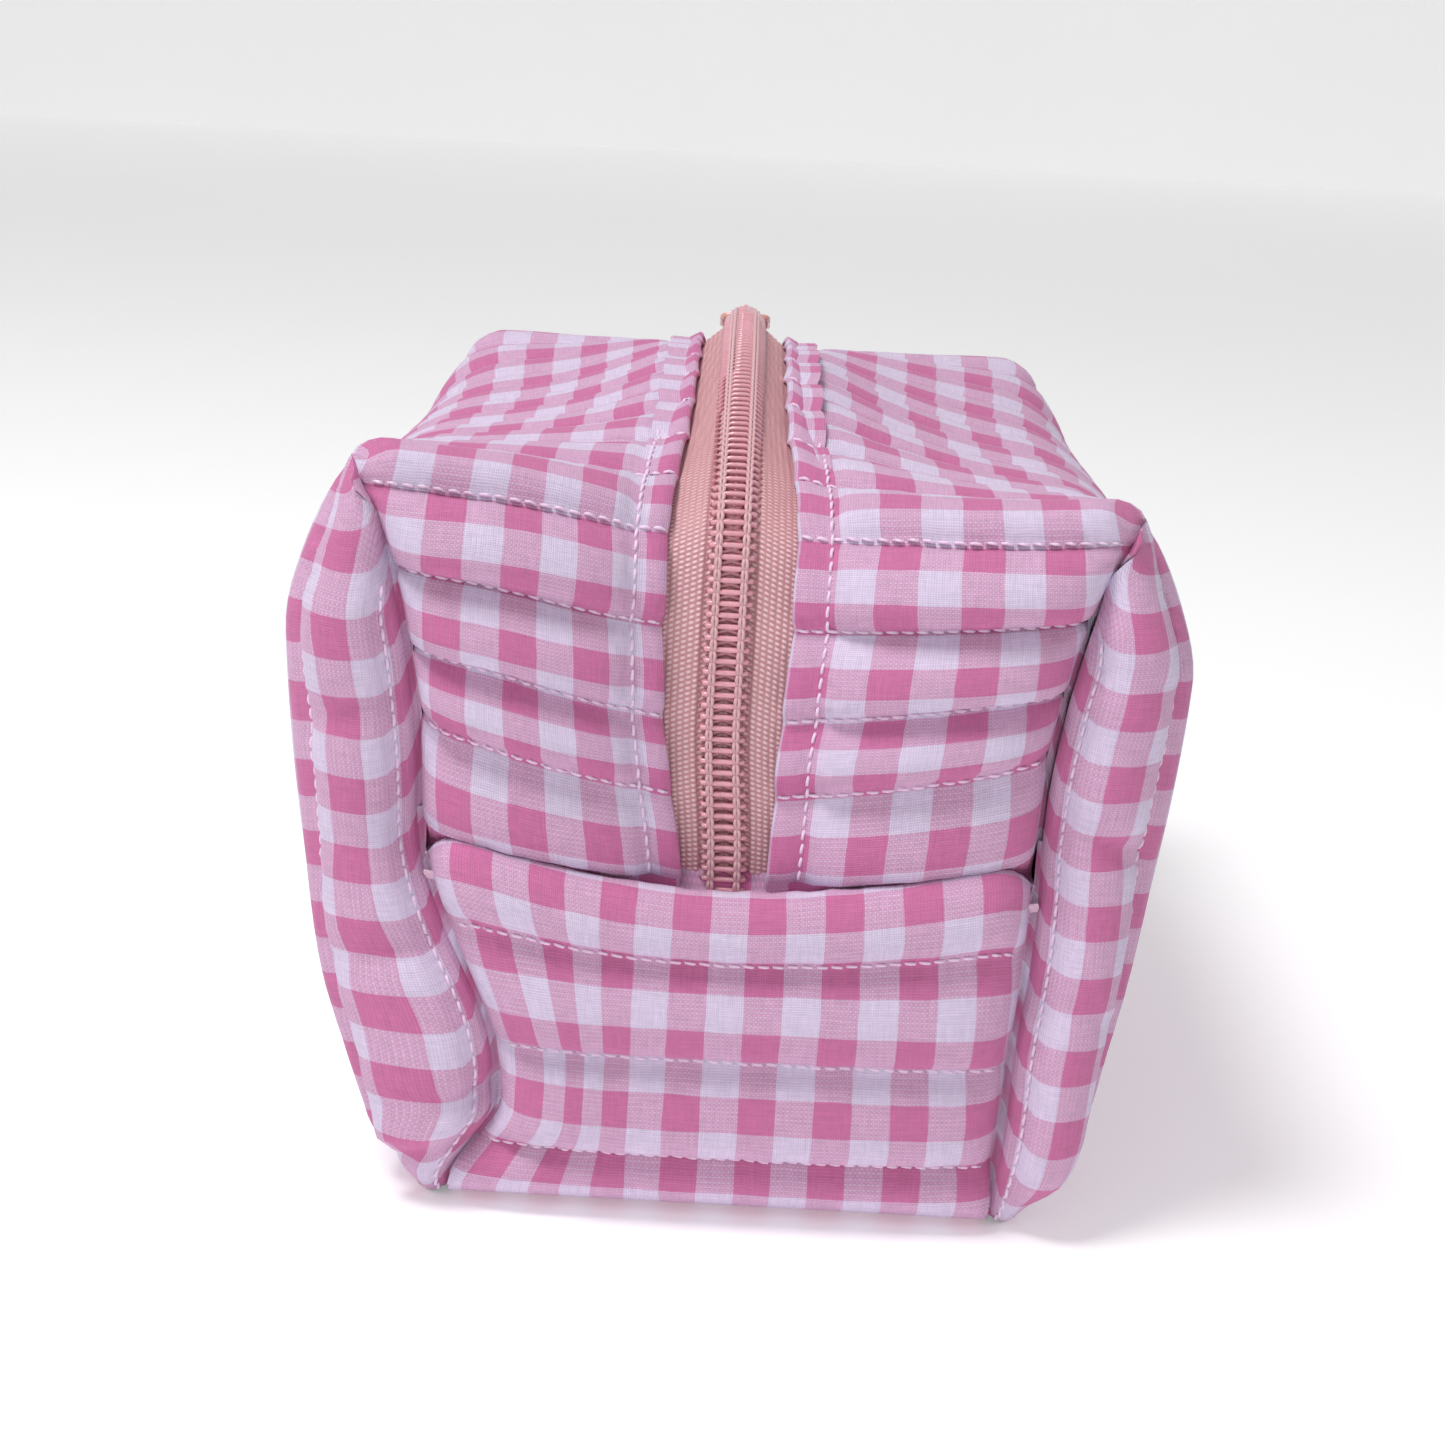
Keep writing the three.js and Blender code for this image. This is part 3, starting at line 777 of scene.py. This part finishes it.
def coil_material():
    """Translucent nylon filament."""
    n = Nodes("zipper_nylon")
    place = n.place()
    cloud = n.noise(place, 300.0)
    shade = n.spread(cloud, 0.86, 1.1)
    tone = n.shaded((0.74, 0.35, 0.41, 1), shade)
    material = n.done(tone, n.spread(cloud, 0.16, 0.34), coat=0.5)
    n.set(subsurface_weight=0.25, subsurface_radius=(0.0012, 0.0006, 0.0005), subsurface_scale=1.0)
    return material


def enamel():
    """Peach enamel on die-cast metal, worn on its edges."""
    n = Nodes("slider_enamel")
    place = n.place()
    cloud = n.noise(place, 900.0, 4.0)
    point = n.new("ShaderNodeNewGeometry").outputs["Pointiness"]
    worn = n.times(n.clamped(point, 9.0, -4.9), n.spread(cloud, 0.2, 0.9))
    tone = n.mix(worn, (0.78, 0.40, 0.35, 1), (0.80, 0.72, 0.68, 1))
    n.bump(cloud, 0.00005, 0.3)
    return n.done(tone, n.spread(cloud, 0.22, 0.42), metallic=0.15, coat=0.6)


def floor_material():
    n = Nodes("studio_floor")
    place = n.place()
    shade = n.spread(n.noise(place, 3.0), 0.97, 1.0)
    tone = n.shaded((0.93, 0.93, 0.935, 1), shade)
    n.put(n.shader.inputs["Emission Color"], tone)
    n.set(emission_strength=0.26)
    return n.done(tone, 0.8)


COTTON = gingham()
LINING = plain_cotton("lining_cotton", (0.82, 0.56, 0.70, 1))
BIAS = plain_cotton("bias_binding", (0.74, 0.24, 0.42, 1), 0.36)
THREAD = thread_material("sewing_thread", (0.86, 0.66, 0.84, 1))
ZIP_THREAD = thread_material("zipper_chain_thread", (0.70, 0.42, 0.45, 1), 0.4)
TAPE = tape_material()
NYLON = coil_material()
ENAMEL = enamel()


def label(nodes):
    """Hides the CAD nodes that the piece stands for, if it stands for any."""
    if nodes:
        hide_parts(*nodes)


def bends(piece, name, slot, *nodes):
    """A piece of the upper cloth: its place is baked into its mesh, and the CAD nodes it stands for are
    hidden."""
    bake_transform(piece)
    label(nodes)


def rides(piece, body, slot, *nodes):
    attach(piece, body)
    label(nodes)


# ---- covers, linings and their stitches ----
TOP_S, TOP = top_grid()
SPAN = slice(FLAP_ROWS - 1, FLAP_ROWS - 1 + SPAN_ROWS)
WALL_Q, WALL_S, SIDE_WALL = wall_grid(TOP[SPAN, -1])
join_shoulder(TOP, SIDE_WALL)
TOP_NORMAL = normals_of(TOP)
WALL_NORMAL = normals_of(SIDE_WALL)
STRIP_T, STRIP_C, LOWER, STRIP_TOTAL = strip_grid()
LOWER_NORMAL = normals_of(LOWER)
TOP_ACROSS = run_length(TOP, 1)
WALL_DOWN = run_length(SIDE_WALL, 0)
RIDGE_U = float(TOP_ACROSS[len(TOP_S) // 2, -1])
CHECK_ALONG = 97.3  # where the check's pattern starts along the cloth, and out from the zipper by side
CHECK_OUT = {1: -0.2, -1: 2.7}


def mirror(grid, side):
    return grid * np.array([side, 1.0, 1.0])


def put(grid, side):
    return settle(mirror(grid, side))


def way_in(end):
    """From the front or rear end towards the middle."""
    return np.array([0, -end, 0.0])


def at_line(grid, coordinate, value):
    """The grid's row, between two rows if need be, where the rows' coordinate equals value."""
    place = np.interp(value, coordinate, np.arange(len(coordinate)))
    low = int(np.clip(math.floor(place), 0, len(coordinate) - 2))
    return grid[low] + (grid[low + 1] - grid[low]) * (place - low)


def upper_cloth(side, inward=False):
    """The puffed top and wall of one upper half, with a shared line where they meet."""
    top = puff_top(TOP_S, TOP, TOP_NORMAL, side, inward)
    wall = puff_wall(WALL_Q, WALL_S, SIDE_WALL, WALL_NORMAL, side, inward)
    top[SPAN, -1] = wall[0] = (top[SPAN, -1] + wall[0]) / 2
    return top, wall


def side_cover(name, side):
    """One upper half of the bag's outside."""
    top, wall = upper_cloth(side)
    top_u = TOP_ACROSS + CHECK_OUT[side]
    wall_u = RIDGE_U + WALL_DOWN + CHECK_OUT[side]
    top_v = np.broadcast_to(TOP_S[:, None], top.shape[:2]) - CHECK_ALONG
    wall_v = WALL_S - CHECK_ALONG
    cloth = Cloth()
    cloth.add(put(top, side), top_u, top_v, side > 0)
    cloth.add(put(wall, side), wall_u, wall_v, side < 0)
    for end, last in ENDS:
        rows = slice(0, FLAP_ROWS) if end < 0 else slice(len(TOP_S) - FLAP_ROWS, None)
        inward = way_in(end)
        edge, column = put(top[rows, -1], side), put(wall[:, last], side)
        cloth.add_roll(edge, inward, top_u[rows, -1], top_v[rows, -1])
        cloth.add_roll(put(top[last], side), inward, top_u[last], top_v[last])
        cloth.add_roll(column, inward, wall_u[:, last], wall_v[:, last])
        beside = slice(0, SEAM_ROW)
        edge = edge if end > 0 else edge[::-1]
        cloth.add_bridge(edge, column[beside], inward, wall_u[beside, last], wall_v[beside, last])
    add_zip_fold(cloth, top[:, 0], top_u[:, :1], top_v[:, :1], side)
    return cloth.make(name + "_cover", COTTON), top, wall


def add_zip_fold(cloth, edge, u, v, side):
    """The cloth folded under beside the zipper, and on under itself: (depth, way back from the edge)."""
    fold = put(edge, side)
    steps = [fold]
    for depth, back in ((0.5, -0.35), (1.0, -0.3), (1.4, 0.4), (1.4, 2.5), (1.2, 6.0)):
        steps.append(fold + mirror(back * X_AXIS - TOP_NORMAL[:, 0] * depth, side))
    cloth.add(np.stack(steps, 1), u - np.array([0, 0.6, 1.2, 1.9, 4, 7.5]), v)


def quilting(threads, top, top_n, wall, wall_n):
    """The rows of quilting stitches over the top and down the wall."""
    for s in QUILT:
        if abs(s) < 150:
            threads.run(at_line(top, TOP_S, s)[:-1], at_line(top_n, TOP_S, s)[:-1])
        if abs(s) < 100:
            rows = [row for row in range(2, WALL_ROWS) if abs(s) < abs(WALL_S[row, -1]) - 1.0]
            line = np.array([at_line(wall[row], WALL_S[row], s) for row in rows])
            normal = np.array([at_line(wall_n[row], WALL_S[row], s) for row in rows])
            threads.run(line, normal, lift=0.5 if abs(s) > 90 else 0.16, tilt=0.08)


def side_stitches(name, side, top, wall):
    threads = Threads()
    top_n, wall_n = mirror(TOP_NORMAL, side), mirror(WALL_NORMAL, side)
    top = put(top, side)
    quilting(threads, top, top_n, put(wall, side), wall_n)
    # The topstitching runs beside the zipper, between two of the top's columns.
    rows = np.arange(len(TOP_S))
    beside = np.array([np.interp(TOPSTITCH, TOP_ACROSS[i], np.arange(TOP_COLUMNS)) for i in rows])
    low = np.floor(beside).astype(int)
    share = (beside - low)[:, None]
    line = top[rows, low] * (1 - share) + top[rows, low + 1] * share
    threads.run(line, top_n[rows, low], gap=0.45)
    return threads.make(name + "_stitching", THREAD)


def side_lining(name, side):
    first = 3  # its edge stands back from the zipper
    top, wall = (draw_in(grid, 5.5, 12.0) for grid in upper_cloth(side, inward=True))
    cloth = Cloth()
    cloth.add(put(top[:, first:], side), TOP_ACROSS[:, first:], TOP_S[:, None], side < 0)
    cloth.add(put(wall, side), RIDGE_U + WALL_DOWN, WALL_S, side > 0)
    return cloth.make(name + "_lining", LINING, inside=True)


def matched_to(points, edge, axis):
    """The edge's points level with each of the given points along one axis."""
    order = np.argsort(edge[:, axis])
    found = points_at(points[:, axis], edge[order, axis], edge[order])
    found[:, axis] = points[:, axis]
    return found


def close_furrows(cloth, grid):
    """Floors for the lower boxed seams and the end seams, where the lower flaps meet the upper pieces."""
    for side in (-1, 1):
        top, wall = (put(part, side) for part in upper_cloth(side))
        for end, last in ENDS:
            inward = way_in(end)
            from_seam = STRIP_T if end < 0 else STRIP_TOTAL - STRIP_T
            rows = (from_seam > 4) & (from_seam < BASE_T)
            column = wall[SEAM_ROW - 1 :, last]
            flap = matched_to(column, grid[rows, 0 if side < 0 else -1], 2)
            cloth.add_bridge(flap, column, inward, column[:, 2] * 0, column[:, 2])
            if side > 0:  # one patch serves both sides, behind the zipper's end
                x = np.linspace(-11, 11, 12)
                behind = np.column_stack([x, np.full(12, end * 85.4), np.full(12, 60.0)])
                cloth.add_bridge(matched_to(behind, grid[last], 0), behind, inward * 0, x, x * 0)
            hem = top[last]
            cloth.add_bridge(matched_to(hem, grid[last], 0), hem, inward, hem[:, 0], hem[:, 0] * 0)


def lower_cover():
    grid = settle(puff_strip(STRIP_T, STRIP_C, LOWER, LOWER_NORMAL, STRIP_TOTAL))
    grid[:, :, 2] = np.maximum(grid[:, :, 2], 0.0)
    u = LOWER[:, :, 0] - 4.25 + 2 * CHECK
    v = np.minimum(STRIP_T, STRIP_TOTAL - STRIP_T)[:, None] - 1.2 + CHECK
    cloth = Cloth()
    cloth.add(grid, u, v, True)
    for end, last in ENDS:
        chosen = (STRIP_T if end < 0 else STRIP_TOTAL - STRIP_T) < BASE_T
        for edge in (0, -1):
            cloth.add_roll(grid[chosen, edge], way_in(end), u[chosen, edge], v[chosen, 0])
        cloth.add_roll(grid[last], way_in(end), u[last], np.broadcast_to(v[last], u[last].shape))
    close_furrows(cloth, grid)
    return cloth.make("lower_cover", COTTON), grid


def lower_stitches(grid):
    threads = Threads()
    for t in STRIP_LINES[1:]:
        for at in (t, STRIP_TOTAL - t):
            line, normal = (at_line(values, STRIP_T, at)[1:-1] for values in (grid, LOWER_NORMAL))
            threads.run(line, normal, lift=0.12 if t < 60 else 0.0)
    return threads.make("lower_stitching", THREAD)


def lower_lining():
    grid = settle(puff_strip(STRIP_T, STRIP_C, LOWER, LOWER_NORMAL, STRIP_TOTAL, inward=True))
    cloth = Cloth()
    cloth.add(grid, LOWER[:, :, 0], STRIP_T[:, None])
    return cloth.make("lower_lining", LINING, inside=True)


# ---- zipper ----
COIL_STEP = 1.78
COIL_TURN_POINTS = 16
COIL_FLAT = 0.9  # the coil lies level this far out, then falls with the tape
FILAMENT_RADIUS = 0.44
CORD_RADIUS = 0.62
CHAIN_X = 2.1  # the sewn row that holds each half of the coil


def crest_frame(s):
    """(places on the zipper's middle line, the way out, the way along) at signed cloth lengths."""
    fine = np.linspace(-SEAM_S, SEAM_S, 1313)
    line = path(CREST, np.abs(fine))
    points = both_ends(np.column_stack([np.zeros(len(fine)), line]), fine)
    along = np.gradient(points, axis=0)
    along /= np.linalg.norm(along, axis=1, keepdims=True)
    out = np.cross(along, [-1.0, 0, 0])
    return tuple(points_at(s, fine, values) for values in (points, out, along))


def crest_lengths(step):
    """Signed cloth lengths spaced evenly in real distance along the chain."""
    fine = np.linspace(-SEAM_S, SEAM_S, 3000)
    along = distances(crest_frame(fine)[0])
    return np.interp(np.arange(0, along[-1], step), along, fine)


def tape_slope(s):
    """How steeply each half of the tape falls away from the zipper's middle line."""
    place, out, _ = crest_frame(s)
    edge = zip_edge(s)
    beyond = edge - place
    return ((beyond * out).sum(1) - 0.6) / edge[:, 0]


def coil(name, side):
    """A nylon filament wound round and round; its heads mesh with the other half's in the middle."""
    turns = np.arange(int(len(crest_lengths(COIL_STEP)) * COIL_TURN_POINTS)) / COIL_TURN_POINTS
    turns = turns + (0 if side > 0 else 0.5)
    part = turns % 1
    # The upper strand crosses square to the chain, and the lower one goes on to the next turn.
    steps = np.floor(turns) + smoothstep(0.5, 1.0, part)
    even = crest_lengths(COIL_STEP / 4)
    s = np.interp(steps * 4, np.arange(len(even)), even)
    place, out, _ = crest_frame(s)
    x = 1.05 - 2.4 * np.cos(2 * math.pi * part)
    rise = 0.55 * np.sin(2 * math.pi * part) + tape_slope(s) * np.maximum(x - COIL_FLAT, 0)
    line = place + side * x[:, None] * X_AXIS + out * rise[:, None]
    strands = Threads()
    strands.add(*tubes(settle(line)[None], np.full(len(s), FILAMENT_RADIUS), 7))
    # The filler cord that the filament is wound round.
    s = crest_lengths(0.9)
    place, out, _ = crest_frame(s)
    rise = tape_slope(s) * (CHAIN_X - COIL_FLAT) - 0.05
    core = place + side * CHAIN_X * X_AXIS + out * rise[:, None]
    strands.add(*tubes(settle(core)[None], np.full(len(s), CORD_RADIUS), 8))
    return strands.make(name + "_coil", NYLON)


def chain_stitches(name, side):
    """Teardrop loops, one to each turn of the coil."""
    threads = Threads()
    s = crest_lengths(COIL_STEP)
    place, out, along = crest_frame(s)
    for leg in (-1, 1):
        steps = np.array([-0.2, 0.3, 0.85, 1.35, 1.8])
        spread = np.array([0.06, 0.27, 0.34, 0.24, 0.05]) * leg
        rise = np.array([0.62, 0.98, 1.02, 0.92, 0.67])
        fall = tape_slope(s)[:, None] * (CHAIN_X - COIL_FLAT + spread)[None]
        loops = (
            place[:, None]
            + side * X_AXIS * (CHAIN_X + spread)[None, :, None]
            + along[:, None] * steps[None, :, None]
            + out[:, None] * (rise[None] + fall)[..., None]
        )
        threads.add(*tubes(settle(loops), np.array([0.6, 0.95, 1.05, 0.95, 0.6]) * 0.31))
    return threads.make(name + "_chain_stitching", ZIP_THREAD)


def tape(name, side):
    """One half of the zipper tape, its satin ribs standing up, running under the folded cloth."""
    s = crest_lengths(0.3)
    middle, out, _ = crest_frame(s)
    edge = zip_edge(s)
    b = np.linspace(0, 1, 40)
    inner = middle + 0.02 * X_AXIS - out * 0.3
    outward = edge - middle
    outward[:, 0] = edge[:, 0]
    outer = middle + outward * 1.42 - out * 2.2
    grid = inner[:, None] + (outer - inner)[:, None] * b[None, :, None]
    rows = run_length(grid, 1)
    length = distances(middle)[:, None]
    # Short satin floats in columns, each column half a step on from the last.
    column = (rows - 4.1) / RIB_WIDTH
    float_at = length / RIB_STEP + 0.5 * np.floor(column) + 0.35 * (column - np.floor(column))
    rounded_rib = np.sin(math.pi * (column - np.floor(column))) ** 0.6
    height = smoothstep(3.7, 4.3, rows) * 0.32 * rounded_rib * (0.6 + 0.4 * np.cos(2 * math.pi * float_at))
    groove = -0.5 * bell(rows - 3.75, 0.3)
    normal = normals_of(grid)
    behind_coil = -0.3 * (1 - smoothstep(3.0, 3.9, rows))
    grid = grid + normal * (height + groove + behind_coil)[..., None]
    cloth = Cloth()
    cloth.add(put(grid, side), rows, length, side > 0)
    return cloth.make(name + "_tape", TAPE), float(length[-1, 0])


# ---- slider and pull ----
CREST_RADIUS = 182.0
SLIDER_ARC_Z = frame["record"]["behaviour"]["joints"][0]["pos_m"][2] * MM
SLIDER_Y = 60.0  # where it is parked
SLIDER_TILT = math.asin(SLIDER_Y / CREST_RADIUS)


def slider_place():
    """From the slider's own frame, y along the zipper and z out from the crest, to the bag's."""
    centre = Matrix.Translation((0, 0, SLIDER_ARC_Z / MM))
    turn = Matrix.Rotation(-SLIDER_TILT, 4, "X")
    return centre @ turn @ Matrix.Translation((0, 0, CREST_RADIUS / MM))


def smooth_spline(data, places):
    """Adds a smooth line through places to a curve."""
    spline = data.splines.new("BEZIER")
    spline.bezier_points.add(len(places) - 1)
    for point, place in zip(spline.bezier_points, places):
        point.co = Vector(place) / MM
        point.handle_left_type = point.handle_right_type = "AUTO"
    return spline


def flat_curve(name, outlines, z, thick, bevel):
    """A plate from closed outlines, the first outside and the rest holes, with rounded edges."""
    data = bpy.data.curves.new(name, "CURVE")
    data.dimensions = "2D"
    data.fill_mode = "BOTH"
    data.extrude = (thick / 2 - bevel) / MM
    data.bevel_depth = bevel / MM
    data.bevel_resolution = 3
    data.resolution_u = 10
    for outline in outlines:
        smooth_spline(data, [(x, y, 0) for x, y in outline]).use_cyclic_u = True
    piece = bpy.data.objects.new(name, data)
    piece.matrix_world = Matrix.Translation((0, 0, z / MM))
    return piece


def rounded(x0, x1, y0, y1, r):
    """Points of a rectangle with round corners."""
    points = []
    centres = ((x1 - r, y1 - r), (x0 + r, y1 - r), (x0 + r, y0 + r), (x1 - r, y0 + r))
    for (cx, cy), start in zip(centres, (0, 90, 180, 270)):
        for turn in (0, 45, 90):
            angle = math.radians(start + turn)
            points.append((cx + r * math.cos(angle), cy + r * math.sin(angle)))
    return points


def as_mesh(pieces, name, material, place):
    """Joins curve and mesh pieces into one mesh, put in place."""
    points, faces, count = [], [], 0
    for piece in pieces:
        bpy.context.collection.objects.link(piece)
        bpy.context.view_layer.update()
        made = piece.evaluated_get(bpy.context.evaluated_depsgraph_get()).to_mesh()
        matrix = place @ piece.matrix_world
        points += [matrix @ vertex.co for vertex in made.vertices]
        faces += [[count + i for i in face.vertices] for face in made.polygons]
        count = len(points)
        bpy.data.objects.remove(piece)
    mesh = bpy.data.meshes.new(name)
    mesh.from_pydata(points, [], faces)
    mesh.materials.append(material)
    result = bpy.data.objects.new(name, mesh)
    bpy.context.collection.objects.link(result)
    weld_mesh(mesh, 1e-5)
    mesh.polygons.foreach_set("use_smooth", np.ones(len(mesh.polygons), bool))
    mesh.set_sharp_from_angle(angle=math.radians(50))
    return result


def bar(name, points, radius):
    """A round bar along a smooth line."""
    data = bpy.data.curves.new(name, "CURVE")
    data.dimensions = "3D"
    data.bevel_depth = radius / MM
    data.bevel_resolution = 3
    data.use_fill_caps = True
    smooth_spline(data, points)
    return bpy.data.objects.new(name, data)


PLATE_TOP = 2.75
PIVOT_Z = 3.6


def make_slider():
    right = [(3.4, 5.2), (4.7, 3.2), (4.75, 0), (4.2, -5.2), (3.4, -5.6)]
    left = [(-x, y) for x, y in reversed(right)]
    outline = [left[-1], (0, 6.1), *right, *left[:-1]]
    arch = [(0, -4.0, 2.4), (0, -3.5, 4.3), (0, -1.6, 4.9), (0, 1.6, 4.9), (0, 3.5, 4.3), (0, 4.0, 2.4)]
    pieces = [
        flat_curve("top_plate", [outline], PLATE_TOP - 0.55, 1.1, 0.35),
        flat_curve("under_plate", [outline], -3.15, 1.1, 0.35),
        bar("post", [(0, 3.3, -3.1), (0, 3.3, 0), (0, 3.3, 2.4)], 0.85),
        bar("bridge", arch, 0.55),
    ]
    for side in (-1, 1):
        rail = [(side * 4.3, -5.0, 1.9), (side * 4.35, -1, 1.4), (side * 4.4, 2.4, 1.7)]
        pieces.append(bar("flange", rail, 0.5))
    slider = as_mesh(pieces, "slider", ENAMEL, slider_place())
    rides(slider, "slider", "slider", "slider_body")


def make_pull():
    outer = rounded(-3.45, 3.45, 0.9, 24.2, 2.3)
    eye = rounded(-1.9, 1.9, 1.6, 6.6, 0.8)
    slot = rounded(-2.15, 2.15, 13.1, 20.9, 2.0)
    pieces = [
        flat_curve("plate", [outer, eye, slot], PIVOT_Z, 1.0, 0.3),
        bar("cross_bar", [(-2.6, 0.1, PIVOT_Z), (0, 0, PIVOT_Z), (2.6, 0.1, PIVOT_Z)], 0.5),
    ]
    for side in (-1, 1):
        bend = [(side * x, y, PIVOT_Z) for x, y in ((2.5, 0.1), (2.65, 1.0), (2.65, 2.2))]
        pieces.append(bar("arm", bend, 0.5))
    pull = as_mesh(pieces, "pull", ENAMEL, slider_place())
    rides(pull, "pull", "slider", "pull_tab")


# ---- bindings over the seams inside ----
def binding(name, line, inward, aside):
    """A folded strip that stands in from a seam: line is its foot, inward the way it stands."""
    up = [(0, 0.7), (3, 0.75), (6, 0.85), (7.6, 0.7)]
    section = [*up, (8.1, 0), *((depth, -half) for depth, half in reversed(up))]
    grid = settle(np.stack([line + inward * depth + aside * half for depth, half in section], 1))
    cloth = Cloth()
    cloth.add(grid, np.arange(len(section))[None] * 2.2, np.arange(len(line))[:, None] * 2.0)
    return cloth.make(name, BIAS)


def make_bindings():
    """One along each end seam, and one along the lower and the upper part of each boxed seam."""
    for end, end_name in ((-1, "front"), (1, "rear")):
        x = np.linspace(-43, 43, 44)
        foot = np.column_stack([x, np.full(44, end * 83.0), 55.0 + 0.3 * np.sin(x / 5)])
        piece = binding(end_name + "_end_binding", foot, way_in(end), np.array([0, 0, 1.0]))
        rides(piece, "tub", "binding", end_name + "_seam_binding")
        for side, side_name in ((-1, "left"), (1, "right")):
            for part, z0, z1 in (("lower", 12, 49), ("upper", 60, 98)):
                z = np.linspace(z0, z1, 20)
                seam = path(BOX_SEAM, z)
                foot = np.column_stack([side * (seam[:, 0] - 3.0), end * (seam[:, 1] - 6.0), z])
                name = f"{end_name}_{side_name}_{part}"
                piece = binding(name + "_edge", foot, way_in(end), X_AXIS)
                if part == "lower":
                    rides(piece, "tub", "binding", name + "_binding")
                else:
                    bends(piece, side_name, "binding", name + "_binding")


# ---- the bag ----
def make_side(name, side):
    cover, top, wall = side_cover(name, side)
    bends(cover, name, "gingham_cover", name + "_side_cover", name + "_side_wadding")
    bends(side_stitches(name, side, top, wall), name, "gingham_cover")
    lining = side_lining(name, side)
    bends(lining, name, "lining", name + "_side_lining")
    zip_tape, length = tape(name, side)
    bends(zip_tape, name, "zipper_tape", name + "_zipper_tape")
    chain = coil(name, side)
    bends(chain, name, "zipper_coil", name + "_zipper_coil")
    bends(chain_stitches(name, side), name, "zipper_coil")


def make_tub():
    cover, grid = lower_cover()
    rides(cover, "tub", "gingham_cover", "base_cover", "base_wadding")
    rides(lower_stitches(grid), "tub", "gingham_cover")
    lining = lower_lining()
    rides(lining, "tub", "lining", "base_lining")


# ---- studio ----
def area_light(name, place, target, size, power, color):
    data = bpy.data.lights.new(name, "AREA")
    data.shape = "DISK"
    data.size = size
    data.energy = power
    data.color = color
    lamp = bpy.data.objects.new(name, data)
    lamp.location = place
    lamp.rotation_euler = (Vector(target) - Vector(place)).to_track_quat("-Z", "Y").to_euler()
    bpy.context.collection.objects.link(lamp)


WORLD_STRENGTH = 0.42


def make_studio():
    paper = floor_material()
    low, far = -0.2, 3000.0
    ground = [(-far, -far, low), (far, -far, low), (far, far, low), (-far, far, low)]
    mesh_object("floor", ground, [[0, 1, 2, 3]], paper)
    behind = [(-far, far, low), (far, far, low), (far, far, far), (-far, far, far)]
    mesh_object("backdrop", behind, [[0, 1, 2, 3]], paper)
    world = bpy.data.worlds.new("studio")
    world.use_nodes = True
    color, strength = world.node_tree.nodes["Background"].inputs[:2]
    color.default_value = (1.0, 1.0, 1.0, 1)
    strength.default_value = WORLD_STRENGTH
    bpy.context.scene.world = world
    bpy.context.scene.view_settings.view_transform = "Standard"
    area_light("key", (-0.36, -0.28, 1.08), (0, 0, 0.08), 0.4, 8.2, (1.0, 0.985, 0.98))
    area_light("fill", (-0.2, -1.0, 0.5), (0, 0, 0.07), 0.9, 1.5, (0.97, 0.97, 1.0))


CAMERA_PLACE = (0, -468.0, 189.5)
CAMERA_PITCH = 15.8
CAMERA_ROLL = 3.2
CAMERA_LENS = 63.4
CAMERA_SHIFT = 0.0028


def make_camera():
    data = bpy.data.cameras.new("camera")
    data.sensor_width = 36.0
    data.lens = CAMERA_LENS
    data.shift_y = CAMERA_SHIFT
    data.clip_start = 0.01
    camera = bpy.data.objects.new("camera", data)
    pitch = Matrix.Rotation(math.radians(90 - CAMERA_PITCH), 4, "X")
    roll = Matrix.Rotation(math.radians(CAMERA_ROLL), 4, "Z")
    camera.matrix_world = Matrix.Translation(Vector(CAMERA_PLACE) / MM) @ (pitch @ roll)
    bpy.context.collection.objects.link(camera)
    bpy.context.scene.camera = camera


make_tub()
make_side("left", -1)
make_side("right", 1)
make_slider()
make_pull()
make_bindings()
make_studio()
make_camera()
